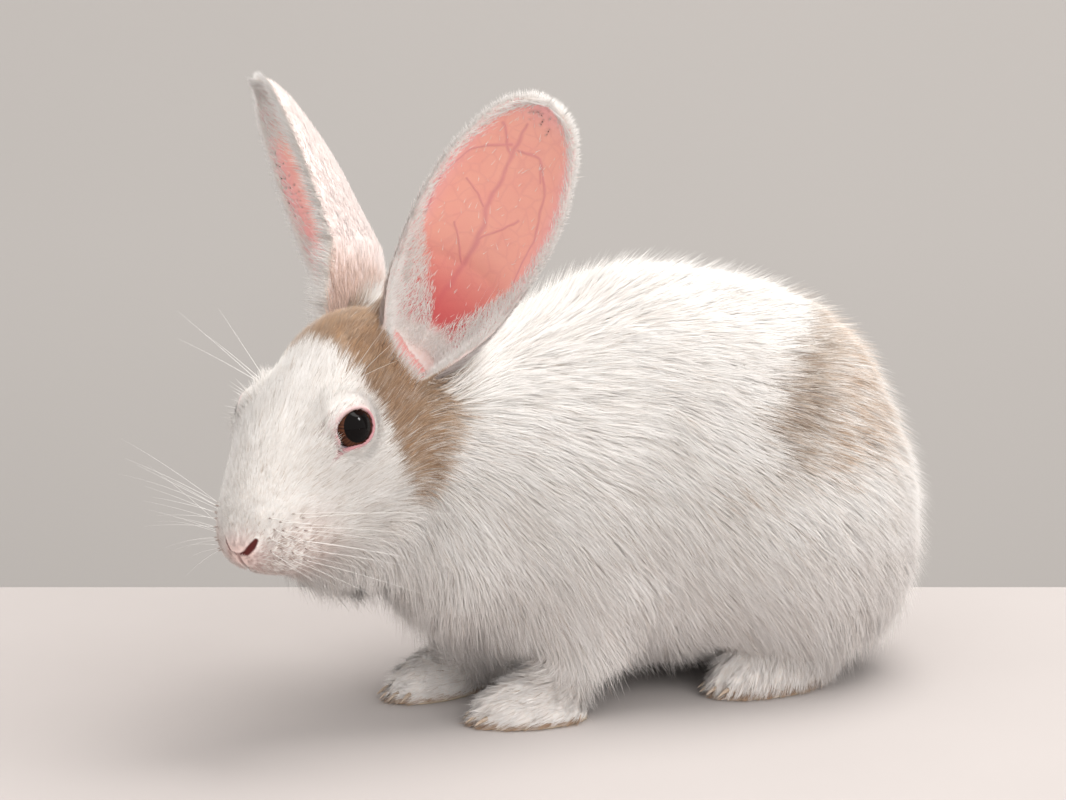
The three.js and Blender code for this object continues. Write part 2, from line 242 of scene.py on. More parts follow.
class Ear:
    """One ear: a thin cup of arcs across its axis.

    A place on it is a share of the length and of the half arc.
    """

    def __init__(self, side):
        shape = EAR_SHAPES[side]
        lean, turn = math.radians(shape["lean"]), math.radians(shape["turn"])
        nose = vec(math.sin(EAR_YAW), -math.cos(EAR_YAW), 0)
        out = vec(math.cos(EAR_YAW), math.sin(EAR_YAW), 0) * SIDES[side]
        self.side = side
        self.axis = unit(vec(0, 0, math.cos(lean)) + out * math.sin(lean) - nose * EAR_BACK_TILT)
        self.face = along_tangent(out * math.sin(turn) + nose * math.cos(turn), self.axis)
        self.across = np.cross(self.axis, self.face)
        root_out, root_nose, root_up = shape["root"]
        self.base = EAR_MIDDLE + out * root_out + nose * root_nose + vec(0, 0, root_up)

    def section(self, share):
        """Radius, half angle and centre height of the arc at a share of the length."""
        return tuple(np.interp(share, EAR_SHARES, a) for a in (EAR_RADII, EAR_REACHES, EAR_CENTRES))

    def locate(self, p):
        """Share of the length, angle round the arc, and three distances in millimetres.

        They run inwards from the sheet, off it or past its edge, and past its ends.
        """
        q = p - self.base
        share = q @ self.axis / EAR_LENGTH
        radius, reach, centre = self.section(share)
        u, v = q @ self.across, q @ self.face - centre
        angle = np.arctan2(u, -v)
        edge = np.clip(angle, -reach, reach)
        past = np.hypot(u - radius * np.sin(edge), v + radius * np.cos(edge))
        inwards = radius - np.hypot(u, v)
        within = np.abs(angle) <= reach
        end = EAR_LENGTH * np.maximum(0, np.maximum(share - 1, -EAR_SINK - share))
        return share, angle, inwards, np.where(within, np.abs(inwards), past), end

    def half_wall(self, share, angle):
        """Half the skin's thickness, thinner towards the margins and the tip."""
        reach = np.interp(share, EAR_SHARES, EAR_REACHES)
        rim = ease(np.abs(angle) / reach, 0.7, 1.0)
        return mix(1.15, 0.75, ease(share, 0, 0.5)) * (1 - 0.3 * rim)

    def field(self, p):
        share, angle, _, off, end = self.locate(p)
        return np.hypot(off, end) - self.half_wall(share, angle)

    def point(self, share, spread, height=0.0):
        """Place on the sheet, and the way inwards there.

        spread runs from -1 to 1 across the sheet, and height rises on its inner, hollow side.
        """
        radius, reach, centre = self.section(np.clip(share, 0, 1))
        angle = spread * reach
        inner = -np.sin(angle)[..., None] * self.across + np.cos(angle)[..., None] * self.face
        middle = self.base + (share * EAR_LENGTH)[..., None] * self.axis + centre[..., None] * self.face
        return middle - inner * (radius - height)[..., None], inner

    def width(self, share):
        """Half the arc's length across, in millimetres."""
        radius, reach, _ = self.section(share)
        return radius * reach


EARS = {side: Ear(side) for side in SIDES}


# ---------------------------------------------------------------- the body's form

# Centre, half axes, fillet to what is before it, and how deep the coat is there.
HEAD_PARTS = (
    ((0, 15, 0.5), (20, 30, 22.5), 0, 2.8),            # skull
    ((0, -10, 3.5), (17.5, 29, 18.5), 10, 1.7),        # face
    ((0, -30.5, -1.5), (16.3, 15.8, 14.2), 8, 0.9),    # muzzle
    ((8.3, -31.5, -4.5), (8.9, 11.4, 8), 5, 0.8),      # whisker pads
    ((13, 2, -12), (12, 23, 15), 9, 2.8),              # cheeks
    ((11.5, -2, 10), (6.5, 11, 7.5), 8, 1.4),          # brows
    ((10, -13, -10), (10, 20, 12.5), 9, 2.4),          # jowls
    ((11, -13, 1), (7.5, 13, 9), 8, 1.6),              # cheekbones
    ((0, -20, -16), (9, 16, 7), 6, 1.8),               # chin
    ((0, -2, -21), (13, 20, 10), 8, 3.2),              # jaw
    ((0, -41, 2), (6, 5, 5.5), 5, 0.7),                # nose
)
TRUNK_PARTS = (
    ((0, 53, 68), (50, 55, 60), 0, 5.5),               # rump
    ((0, 12, 72), (46, 52, 65), 25, 5.5),              # back
    ((0, -28, 62), (38, 42, 52), 25, 6.0),             # chest
    ((24, 60, 51), (34, 43, 38), 18, 5.5),             # thighs
    ((14, 66, 33), (34, 41, 27), 12, 5.0),             # coat that hangs over the heels
    ((0, 2, 40), (35, 48, 27), 14, 5.5),               # belly
)
NECK = ((0, -30, 78), (6, -74, 86), 36, 27)
NECK_DEPTH = 5.0
THROAT = ((9, -58, 54), (27, 20, 26))
RUFF = ((13, -90, 62), (20, 26, 19))
THROAT_DEPTH = 6.0
FORELEGS = {"left": (26.5, -35.5, 21), "right": (-14, -48, -18)}    # place of the foot, and x of the shoulder
FORELEG_DEPTH, FOOT_DEPTH = 3.8, 2.3
HINDFOOT = (30, 46)
FORE_HALF_AXES, HIND_HALF_AXES = (12, 20.5, 15.5), (12.5, 21.5, 17.5)
TOE_IN = math.radians(12)               # how far the forefeet's toes turn towards the middle
TAIL = ((0, 105, 42), (14, 12, 21))
TAIL_DEPTH = 4.5
TOE_GAP = 4.6                           # from one groove between the toes to the next
TOE_GROOVE = 1.7                        # depth of the grooves at the toes' ends


def union(p, parts, inset):
    d = None
    for centre, radii, fillet, depth in parts:
        part = ball(p, centre, radii) + inset * depth
        d = part if d is None else blend(d, part, fillet)
    return d


def head_field(p, inset):
    return union(mirrored(to_head(p)), HEAD_PARTS, inset)


def trunk_field(p, inset):
    d = union(mirrored(p), TRUNK_PARTS, inset)
    d = blend(d, limb(p, *NECK) + inset * NECK_DEPTH, 20)
    return blend(d, ball(p, *THROAT) + inset * THROAT_DEPTH, 16)


def to_foot(p, x, y, toe_in=0.0):
    """Place in a foot's own frame, whose toes point along -Y."""
    a = toe_in * np.sign(x)
    u, v = p[..., 0] - x, p[..., 1] - y
    return np.stack([u * np.cos(a) - v * np.sin(a), u * np.sin(a) + v * np.cos(a), p[..., 2]], -1)


def from_foot(q, x, y, toe_in=0.0):
    """Turns a place or a direction of a foot's frame into the design frame."""
    a = toe_in * np.sign(x)
    return vec(x + q[0] * np.cos(a) + q[1] * np.sin(a), y - q[0] * np.sin(a) + q[1] * np.cos(a), q[2])


def foot_ball(q, lift, half_axes, inset):
    """One flat foot in its own frame, with grooves between its four toes, deepest at the front."""
    narrow = ease(q[..., 1], -half_axes[1], -half_axes[1] + 12)
    side = q[..., 0] / mix(0.7, 1.0, narrow)
    cut = sum(np.exp(-(((side - k * TOE_GAP) / 0.95) ** 2)) for k in (-1, 0, 1))
    grooves = TOE_GROOVE * cut * ease(q[..., 1], -half_axes[1] + 15, -half_axes[1] + 1)
    return ball(q, (0, 0, lift), half_axes) + inset * FOOT_DEPTH + grooves


def foreleg_field(p, x, y, shoulder, inset):
    column = limb(p, (shoulder, y + 24, 42), (x, y + 12, 15), 20, 12) + inset * FORELEG_DEPTH
    return blend(column, foot_ball(to_foot(p, x, y, TOE_IN), 0.5, FORE_HALF_AXES, inset), 6)


def hindfoot_field(p, inset):
    m = mirrored(p)
    x, y = HINDFOOT
    heel = limb(m, (x, y + 16, 11), (x, y + 8, 9), 12, 11) + inset * FOOT_DEPTH
    return blend(foot_ball(to_foot(m, x, y), 1.5, HIND_HALF_AXES, inset), heel, 8)


def feet_field(p, inset):
    d = hindfoot_field(p, inset)
    for place in FORELEGS.values():
        d = np.minimum(d, foreleg_field(p, *place, inset))
    return d


def body_field(p, inset):
    """The whole body but its ears and lids: the coat's outer surface at inset 0, and the skin at inset 1."""
    d = blend(trunk_field(p, inset), head_field(p, inset), 17)
    d = blend(d, ball(p, *RUFF) + inset * THROAT_DEPTH, 14)
    for place in FORELEGS.values():
        d = blend(d, foreleg_field(p, *place, inset), 10)
    d = blend(d, hindfoot_field(p, inset), 6)
    return blend(d, ball(p, *TAIL) + inset * TAIL_DEPTH, 8)


# ---------------------------------------------------------------- what the skin adds

LID_HEIGHT = 0.75                       # of the lids over the eyeball
FOLD = 3.0                              # from the opening's edge to the upper lid's fold
SOCKET_GAP = 0.12
OPENING = (6.5, 5.1)                    # half the opening's length and height, along the eyeball's surface
OPENING_MIDDLE = (0.3, 0.1)
OPENING_TILT = math.radians(-20)
TEAR_CORNER = (-8.2, -1.2)
LID_REACH = 20                          # from the eyeball's middle: the lids are formed within this
OPENING_REACH = 16                      # and their opening matters to paint and hair within this
MUZZLE_REACH = 26                       # from the nose: nostrils and mouth are cut within this


def eye_place(m):
    """Distance from the eyeball's middle, cosine of the angle off its pole, and place on the ball.

    The place is in millimetres from the pole, towards the back and up.
    """
    w = m - EYE
    r = np.sqrt(dot(w, w)) + 1e-9
    front = np.clip(w @ EYE_LOOK / r, -1, 1)
    angle = np.arccos(front)
    stretch = EYE_RADIUS * angle / (np.sqrt(1 - front**2) + 1e-6) / r
    return r, front, w @ EYE_BACK * stretch, w @ EYE_UP * stretch


def opening_field(m):
    """Distance in the eyeball's surface from the edge of the opening between the lids, below 0 inside it."""
    _, front, back, up = eye_place(m)
    c, s = math.cos(OPENING_TILT), math.sin(OPENING_TILT)
    x, y = back - OPENING_MIDDLE[0], up - OPENING_MIDDLE[1]
    x, y = x * c + y * s, y * c - x * s
    oval = (np.hypot(x / OPENING[0], y / OPENING[1]) - 1) * OPENING[1]
    plane = np.stack([back, up, 0 * up], -1)
    corner = limb(plane, (-4.6, -0.8, 0), (*TEAR_CORNER, 0), 2.0, 0.3)
    return np.where(front > -0.5, blend(oval, corner, 1.0), 12.0)


def fold_share(edge, back, up):
    """1 in the fold of the upper lid, 0 away from it."""
    return np.exp(-(((edge - FOLD) / 0.5) ** 2)) * ease(up + 0.25 * back, 0.8, 4.0)


def with_lids(d, m):
    """Lids that stand over the eyeball, closed over it."""
    r, _, _, _ = eye_place(m)
    edge = opening_field(m)
    return blend(d, r - (EYE_RADIUS + LID_HEIGHT + 0.2 * np.exp(-((edge - 0.8) / 0.7) ** 2)), 4.5)


def with_eyes(d, m):
    """The lids with the upper fold, their opening and the socket."""
    r, _, back, up = eye_place(m)
    edge = opening_field(m)
    d = with_lids(d, m) + 0.8 * fold_share(edge, back, up)
    d = np.maximum(d, np.minimum(-edge, 12 - r))
    return np.maximum(d, EYE_RADIUS + SOCKET_GAP - r)


def line_field(m, points, radii):
    d = None
    for start, end, r0, r1 in zip(points, points[1:], radii, radii[1:]):
        part = limb(m, start, end, r0, r1)
        d = part if d is None else np.minimum(d, part)
    return d


def slit_field(q):
    """The nostrils of the head's frame; the right one is nearly shut, as when the nose twitches."""
    return line_field(mirrored(q), NOSTRIL, NOSTRIL_WIDTH) + 0.6 * (q[..., 0] < -1.0)


def with_muzzle(d, q):
    """Nostril slits, the groove under the nose and the line of the mouth."""
    m = mirrored(q)
    d = carve(d, slit_field(q), 0.35)
    return carve(d, line_field(m, LIP_LINE, LIP_WIDTH), 0.5)


def change_near(d, where, change, *args):
    """Applies a change to part of a field's values."""
    if where.any():
        d[where] = change(d[where], *(a[where] for a in args))
    return d


def skin_field(p):
    """The whole skin, with ears, lids, nostrils and mouth, cut flat at the floor."""
    d = body_field(p, 1.0)
    for ear in EARS.values():
        high = p[..., 2] > EAR_LOWEST
        d = change_near(d, high, lambda a, q, ear=ear: blend(a, ear.field(q), 4), p)
    q = to_head(p)
    m = mirrored(q)
    near_eye = ((m - EYE) ** 2).sum(-1) < LID_REACH**2
    d = change_near(d, near_eye, with_eyes, m)
    near_nose = ((m - NOSE_TIP) ** 2).sum(-1) < MUZZLE_REACH**2
    d = change_near(d, near_nose, with_muzzle, q)
    return np.maximum(d, -p[..., 2])


def slope_of(field, p, step=0.15):
    """Value of a field and its slope, by forward differences."""
    d = field(p)
    slope = np.stack([field(p + e) - d for e in np.eye(3) * step], -1) / step
    return d, slope


def settle(field, p, height=0.0, most=4.0):
    """Moves points along the slope until the field there has the given height."""
    d, slope = slope_of(field, p)
    move = ((height - d) / np.maximum(dot(slope, slope), 0.2))[..., None] * slope
    size = np.linalg.norm(move, axis=-1, keepdims=True)
    return p + move * np.minimum(1, most / np.maximum(size, 1e-9)), unit(slope)


def on_skin(points):
    """Places of the head's frame, brought to the skin before lids, nostrils and mouth are cut."""
    q = from_head(np.array(points, float))
    for _ in range(4):
        q, _ = settle(lambda p: body_field(p, 1.0), q)
    return to_head(q)


NOSTRIL = on_skin(((1.2, -46.2, 4.4), (3.2, -45.8, 4.9), (5.2, -44.0, 6.3), (6.3, -42.4, 7.3)))
NOSTRIL_WIDTH = (0.3, 0.7, 0.9, 0.5)
LIP_LINE = on_skin((
    (0, -46.6, 4.4), (0, -46.9, 2.0), (0, -46.6, -2.6), (1.6, -46.0, -5.0), (4.6, -44.8, -6.4),
    (7.4, -42.5, -8.4), (10.2, -37, -10.6), (11.2, -30, -11.6)))
LIP_WIDTH = (0.4, 0.45, 0.5, 0.5, 0.45, 0.4, 0.35, 0.25)


# ---------------------------------------------------------------- from field to mesh

def planes(*runs):
    """Positions of the sampling planes: runs of (start, end, step), each starting where the last ends."""
    parts = [np.linspace(a, b, round((b - a) / step), endpoint=False) for a, b, step in runs]
    return np.concatenate([*parts, [runs[-1][1]]])


# Finest round the eyes and muzzle, fine on the ears and feet.
SKIN_PLANES = (
    planes((-72, -5, 0.95), (-5, 54, 0.6), (54, 74, 0.95)),
    planes((-140, -119, 0.45), (-119, -92, 0.6), (-92, -40, 0.95), (-40, 18, 1.7), (18, 62, 1.2),
           (62, 122, 2.5)),
    planes((-1.5, 24, 0.9), (24, 46, 1.8), (46, 74, 0.45), (74, 112, 0.6), (112, 198, 0.95)),
)
BLOCK = 8


def sampled(field, axes):
    """The field at every crossing of the planes. Blocks far from the surface only get its sign."""
    sizes = [len(a) for a in axes]
    starts = [np.arange(0, n - 1, BLOCK) for n in sizes]
    middles = [(a[s] + a[np.minimum(s + BLOCK, len(a) - 1)]) / 2 for a, s in zip(axes, starts)]
    halves = [(a[np.minimum(s + BLOCK, len(a) - 1)] - a[s]) / 2 for a, s in zip(axes, starts)]
    middle = field(np.stack(np.meshgrid(*middles, indexing="ij"), -1))
    radius = np.sqrt(sum(h**2 for h in np.meshgrid(*halves, indexing="ij")))
    values = middle.astype(np.float32)
    for axis, n in enumerate(sizes):
        kept = range(min(n, values.shape[axis] * BLOCK))
        values = np.repeat(values, BLOCK, axis=axis).take(kept, axis=axis)
        if values.shape[axis] < n:
            values = np.concatenate([values, values.take([-1], axis=axis)], axis=axis)
    near = np.argwhere(np.abs(middle) < 1.3 * radius + 3)
    steps = np.arange(BLOCK + 1)
    for first in range(0, len(near), 400):
        index = [np.minimum(near[first:first + 400, k, None] * BLOCK + steps, sizes[k] - 1) for k in range(3)]
        i, j, k = (index[0][:, :, None, None], index[1][:, None, :, None], index[2][:, None, None, :])
        i, j, k = np.broadcast_arrays(i, j, k)
        values[i, j, k] = field(np.stack([axes[0][i], axes[1][j], axes[2][k]], -1))
    return values


CUBE = list(np.ndindex(2, 2, 2))
CUBE_EDGES = [(a, b) for a in range(8) for b in range(a + 1, 8) if bin(a ^ b).count("1") == 1]


def surface_of(field, axes):
    """Quads round every crossing of the surface, one point for each cell that it passes through."""
    values = sampled(field, axes)
    inside = values < 0
    cells = tuple(n - 1 for n in values.shape)

    def corner_of(a, c):
        return a[tuple(slice(o, n + o) for o, n in zip(c, cells))]

    count = sum(corner_of(inside, c).astype(np.uint8) for c in CUBE)
    active = np.argwhere((count > 0) & (count < 8))
    number = np.full(cells, -1, np.int32)
    number[tuple(active.T)] = np.arange(len(active))
    value = [values[tuple((active + c).T)].astype(float) for c in CUBE]
    place = [np.stack([axes[k][active[:, k] + c[k]] for k in range(3)], 1) for c in CUBE]
    total, hits = np.zeros((len(active), 3)), np.zeros(len(active))
    for a, b in CUBE_EDGES:
        crossed = (value[a] < 0) != (value[b] < 0)
        share = value[a] / np.where(crossed, value[a] - value[b], 1)
        total += np.where(crossed[:, None], mix(place[a], place[b], share[:, None]), 0)
        hits += crossed
    quads = []
    for axis in range(3):
        u, v = (axis + 1) % 3, (axis + 2) % 3
        low = [slice(1, -1)] * 3
        low[axis] = slice(0, -1)
        high = list(low)
        high[axis] = slice(1, None)
        starts_inside = inside[tuple(low)]
        edges = np.argwhere(starts_inside != inside[tuple(high)])
        outwards = starts_inside[tuple(edges.T)]
        edges = edges + (np.arange(3) != axis)
        around = []
        for du, dv in ((1, 1), (0, 1), (0, 0), (1, 0)):
            cell = edges.copy()
            cell[:, u] -= du
            cell[:, v] -= dv
            around.append(number[tuple(cell.T)])
        quad = np.stack(around, 1)
        quad[~outwards] = quad[~outwards][:, ::-1]
        quads.append(quad)
    return total / hits[:, None], np.concatenate(quads)


def new_object(name, mesh):
    piece = bpy.data.objects.new(name, mesh)
    bpy.context.scene.collection.objects.link(piece)
    return piece


def mesh_piece(name, points, faces, material=None, normals=None):
    """An object from points in millimetres of the design frame and faces that all have as many corners."""
    mesh = bpy.data.meshes.new(name)
    mesh.vertices.add(len(points))
    mesh.vertices.foreach_set("co", ((points + ORIGIN) * MM).astype(np.float32).ravel())
    mesh.loops.add(faces.size)
    mesh.loops.foreach_set("vertex_index", faces.astype(np.int32).ravel())
    mesh.polygons.add(len(faces))
    mesh.polygons.foreach_set("loop_start", np.arange(0, faces.size, faces.shape[1], dtype=np.int32))
    mesh.update(calc_edges=True)
    mesh.shade_smooth()
    if normals is not None:
        mesh.normals_split_custom_set_from_vertices(normals.astype(np.float32))
    if material is not None:
        mesh.materials.append(material)
    return new_object(name, mesh)


def set_attribute(mesh, name, values):
    values = np.asarray(values, np.float32)
    kind, field = ("FLOAT", "value") if values.ndim == 1 else ("FLOAT_VECTOR", "vector")
    mesh.attributes.new(name, kind, "POINT").data.foreach_set(field, values.ravel())


def read_mesh(mesh):
    """Points in millimetres of the design frame, and triangles."""
    co = np.empty(len(mesh.vertices) * 3, np.float32)
    mesh.vertices.foreach_get("co", co)
    mesh.calc_loop_triangles()
    corners = np.empty(len(mesh.loop_triangles) * 3, np.int32)
    mesh.loop_triangles.foreach_get("vertices", corners)
    return co.reshape(-1, 3).astype(float) / MM - ORIGIN, corners.reshape(-1, 3)


def plain_mesh(piece):
    """Replaces a piece's mesh by what its modifiers make of it, and removes them."""
    graph = bpy.context.evaluated_depsgraph_get()
    mesh = bpy.data.meshes.new_from_object(piece.evaluated_get(graph), depsgraph=graph)
    piece.modifiers.clear()
    piece.data = mesh
    return mesh


def finish_piece(piece):
    """Gives a piece its body."""
    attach(piece, BODY)
    return piece


# ---------------------------------------------------------------- markings

PATCH_NOISE = Noise(11)
FINE_NOISE = Noise(12)


def head_patch(p):
    """How much a place belongs to the patch before the ears and behind the eyes, from 0 to 1."""
    q = to_head(p)
    side, back, up = np.abs(q[..., 0]), q[..., 1], q[..., 2]
    rough = 2.6 * PATCH_NOISE(p, 9) + 1.4 * FINE_NOISE(p, 3.2)
    front = np.interp(up, (-38, -31, -24, -16, -8, 0, 5, 14, 21), (30, 1, -1, 0, 1.5, 7, 12.5, 16.5, 20))
    behind = (up + 30 - 0.28 * back) * 0.9
    crown = 46 - back + 0.4 * side
    under = side - np.interp(up, (-38, -10, 5), (20, 13, -10))
    inside = np.minimum(np.minimum(back - front, behind), np.minimum(crown, under)) + rough
    near = ease(head_field(p, 0), 16, 10)
    for ear in EARS.values():
        share, _, inwards, _, _ = ear.locate(p)
        near = near * (1 - ease(inwards, -0.6, 0.4) * ease(share, -0.08, -0.02))
    return ease(inside, -3.2, 3.2) * near * mix(0.8, 1.0, ease(up, -27, -6))


def rump_patch(p):
    """Shares of grey and of tan hair in the saddle patch on the rump."""
    x, y, z = p[..., 0], p[..., 1], p[..., 2]
    rough = 5.0 * PATCH_NOISE(p + 50, 15) + 3.0 * FINE_NOISE(p * vec(1, 0.5, 1), 3.5)
    left = np.interp(z, (66, 74, 86, 91, 103, 113, 118, 126, 137), (47, 40, 37, 34, 44, 55, 66, 74, 66))
    right = np.interp(z, (66, 76, 87, 101, 115, 137), (56, 53, 53, 57, 64, 58))
    front = mix(right, left, ease(x, -8, 12))
    low = z - np.interp(y, (40, 53, 64, 85), (73, 71, 69, 75)) - 5 * ease(x, 0, -20)
    inside = np.minimum(np.minimum(y - front, low), 99 - y + 0.35 * (z - 90)) + rough
    behind = y - np.interp(z, (74, 82, 90, 101, 110, 118), (50, 54, 60, 66, 73, 80)) + 4 * PATCH_NOISE(p, 9)
    streak = ease(FINE_NOISE(p * vec(1, 0.4, 1) + 90, 1.2) + 0.5 * PATCH_NOISE(p, 6), -0.6, 0.5)
    share = ease(inside, -9, 11)
    grey = share * ease(behind, 9, -7) * mix(0.42, 0.74, streak)
    tan = share * (0.36 + 0.20 * streak * ease(behind, -6, 6))
    return grey, tan


def faint_patch(p):
    """Faint tints on the flank below the saddle."""
    spot = np.exp(-(((p - vec(50, 30, 68)) / vec(14, 11, 6)) ** 2).sum(-1))
    return np.clip(0.32 * spot * (1 + 0.6 * FINE_NOISE(p, 5)), 0, 0.4)


def markings(p):
    """Shares of tan and of grey hair at roots p."""
    rump_grey, rump_tan = rump_patch(p)
    head = head_patch(p)
    q = to_head(p)
    browner = ease(0.9 * PATCH_NOISE(p + 9, 7) + 0.04 * (q[..., 2] - 2), -0.5, 0.8)
    tan_share = np.maximum(head * mix(0.8, 1.0, browner), np.maximum(rump_tan, faint_patch(p)))
    grey_share = np.maximum(rump_grey, head * 0.34 * browner)
    return tan_share, np.clip(grey_share, 0, 1)


# ---------------------------------------------------------------- shaders

EAR_GLOW = 0.13                         # painted glow of the ears, as a share of their colour: it stands for light through the thin ears
WHITE_SHADE = (0.81, 0.785, 0.765)      # what the darkest tufts keep of white and of tan
TAN_SHADE = (0.70, 0.62, 0.56)


class Wire:
    """A socket in a shader. Sums, products and powers of wires and numbers add Math nodes."""

    def __init__(self, finish, socket):
        self.finish = finish
        self.socket = socket

    def math(self, operation, *values):
        return self.finish.node("ShaderNodeMath", {"operation": operation}, dict(enumerate(values)))

    def __add__(self, other):
        return self.math("ADD", self, other)

    def __sub__(self, other):
        return self.math("SUBTRACT", self, other)

    def __mul__(self, other):
        return self.math("MULTIPLY", self, other)

    def __pow__(self, other):
        return self.math("POWER", self, other)

    def __rsub__(self, other):
        return self.math("SUBTRACT", other, self)

    __radd__ = __add__
    __rmul__ = __mul__

    def least(self, other):
        return self.math("MINIMUM", self, other)

    def most(self, other):
        return self.math("MAXIMUM", self, other)


class Finish:
    """A material being built: a Principled surface with its constants, and one method for any other node."""

    def __init__(self, name, surface):
        self.material = bpy.data.materials.new(name)
        self.material.use_nodes = True
        self.tree = self.material.node_tree
        self.surface = self.tree.nodes["Principled BSDF"]
        for socket, value in surface.items():
            self.surface.inputs[socket].default_value = value

    def node(self, kind, settings=(), inputs=(), output=0):
        """Adds a node, makes its settings, feeds its sockets with wires or values, and gives one output."""
        node = self.tree.nodes.new(kind)
        for name, value in dict(settings).items():
            setattr(node, name, value)
        for socket, value in dict(inputs).items():
            if isinstance(value, Wire):
                self.tree.links.new(value.socket, node.inputs[socket])
            else:
                node.inputs[socket].default_value = value
        return Wire(self, node.outputs[output])

    def feed(self, socket, wire):
        self.tree.links.new(wire.socket, self.surface.inputs[socket])

    def attribute(self, name, output="Fac"):
        return self.node("ShaderNodeAttribute", {"attribute_name": name}, output=output)

    def place(self):
        return self.node("ShaderNodeTexCoord", output="Object")

    def mix(self, share, a, b, blend_type="MIX"):
        """A mix of two colours, each a wire or three numbers."""
        a, b = (c if isinstance(c, Wire) else (*c, 1) for c in (a, b))
        settings = {"data_type": "RGBA", "blend_type": blend_type}
        return self.node("ShaderNodeMix", settings, {0: share, 6: a, 7: b}, output=2)

    def rise(self, value, low, high):
        """A smooth rise from 0 at low to 1 at high."""
        inputs = {"Value": value, "From Min": low, "From Max": high}
        return self.node("ShaderNodeMapRange", {"interpolation_type": "SMOOTHSTEP"}, inputs)

    def noise(self, place, scale, detail=2.0):
        inputs = {"Vector": place, "Scale": scale, "Detail": detail}
        return self.node("ShaderNodeTexNoise", inputs=inputs)

    def vector(self, operation, *values, output=0):
        return self.node("ShaderNodeVectorMath", {"operation": operation}, dict(enumerate(values)), output)

    def bump(self, height, distance, strength=1.0):
        inputs = {"Height": height, "Distance": distance, "Strength": strength}
        self.feed("Normal", self.node("ShaderNodeBump", inputs=inputs))


def hair_colour(finish, colours, tan, grey, along, tint):
    """White, tan and grey hair, each with its root, dark band and tip, by share along the hair."""
    # White hair is painted warmer and darker towards its root: painted shade deep in the coat.
    white = finish.mix(finish.rise(along, 0.0, 0.7), colours.white_root_shade, colours.white)
    band = finish.rise(along, 0.1, 0.45) * (1 - finish.rise(along, 0.6, 0.95))
    tan_hair = finish.mix(band * 0.55, finish.mix(along, colours.tan_root, colours.tan), colours.dark)
    grey_hair = finish.mix(band * 0.8, finish.mix(along, colours.grey_root, colours.grey), colours.dark)
    colour = finish.mix(tan, white, tan_hair)
    colour = finish.mix(grey, colour, grey_hair)
    shade = finish.mix(tan, WHITE_SHADE, TAN_SHADE)
    return finish.mix(1.0, colour, finish.mix(tint, shade, (1.0, 1.0, 1.0)), "MULTIPLY")


def coat_finish(colours, name="coat", glow=0.0):
    """Hair; glow is a faint light of its own that stands for light through a thin ear."""
    finish = Finish(name, {
        "Roughness": 0.62, "Sheen Weight": 0.3, "Sheen Roughness": 0.5, "Specular IOR Level": 0.2,
        "Emission Strength": glow})
    along = finish.attribute("along")
    tint = finish.attribute("tint")
    tan = finish.attribute("tan")
    grey = finish.attribute("grey")
    colour = hair_colour(finish, colours, tan, grey, along, tint)
    # Blush: pink skin through thin hair, and low on the trunk a faint warm tint that is painted light bounced
    # from the floor.
    blush_and_bounce = finish.attribute("blush_and_bounce")
    colour = finish.mix(blush_and_bounce, colour, colours.blush)
    finish.feed("Base Color", colour)
    if glow:
        finish.feed("Emission Color", colour)
    return finish.material


# The left ear's main veins: place across from the midline and up from the root in mm, and width in mm.
EAR_VEINS = (
    ((-2, 14), (0, 40), 1.6), ((0, 40), (-3.3, 58), 1.4), ((-3.3, 58), (-2.4, 73), 1.2),
    ((-2.4, 73), (-3.2, 86), 0.9), ((-2.4, 73), (-10.7, 84), 0.8), ((-3.8, 77), (-16.4, 70.6), 0.9),
    ((-16.4, 70.6), (-23, 60), 0.8), ((-23, 60), (-21, 46), 0.7), ((-1.5, 76), (5.1, 77), 0.9),
    ((5.1, 77), (8.7, 70), 0.6), ((5.1, 77), (12, 68), 0.9), ((12, 68), (17, 53), 0.8),
    ((17, 53), (19, 38), 0.7), ((0, 40), (8, 55), 0.6), ((-3, 52), (-12, 60), 0.6), ((-1, 30), (-9, 44), 0.6),
)


def vein_mask(finish, place):
    """Where the ear's veins run: a few main ones, and a fine net between them."""
    wander = finish.noise(place, 0.09, 1.5)
    bend = finish.vector("SUBTRACT", Wire(finish, wander.socket.node.outputs["Color"]), (0.5, 0.5, 0.5))
    place = finish.vector("ADD", place, finish.vector("MULTIPLY", bend, (4.5, 4.5, 0)))
    mask = None
    for start, end, width in EAR_VEINS:
        run = vec(*end) - vec(*start)
        length = float(np.linalg.norm(run))
        heading = (*(run / length), 0)
        off = finish.vector("SUBTRACT", place, (*start, 0))
        reach = finish.vector("DOT_PRODUCT", off, heading, output="Value").most(0).least(length)
        foot = finish.node("ShaderNodeVectorMath", {"operation": "SCALE"}, {0: heading, "Scale": reach})
        gap = finish.vector("LENGTH", finish.vector("SUBTRACT", off, foot), output="Value")
        vein = 1 - finish.rise(gap, 0.0, 1.15 * width)
        mask = vein if mask is None else mask.most(vein)
    net = finish.node(
        "ShaderNodeTexVoronoi", {"feature": "DISTANCE_TO_EDGE"}, {"Vector": place, "Scale": 0.17}, "Distance")
    return mask.most((1 - finish.rise(net, 0.0, 0.10)) * 0.26)


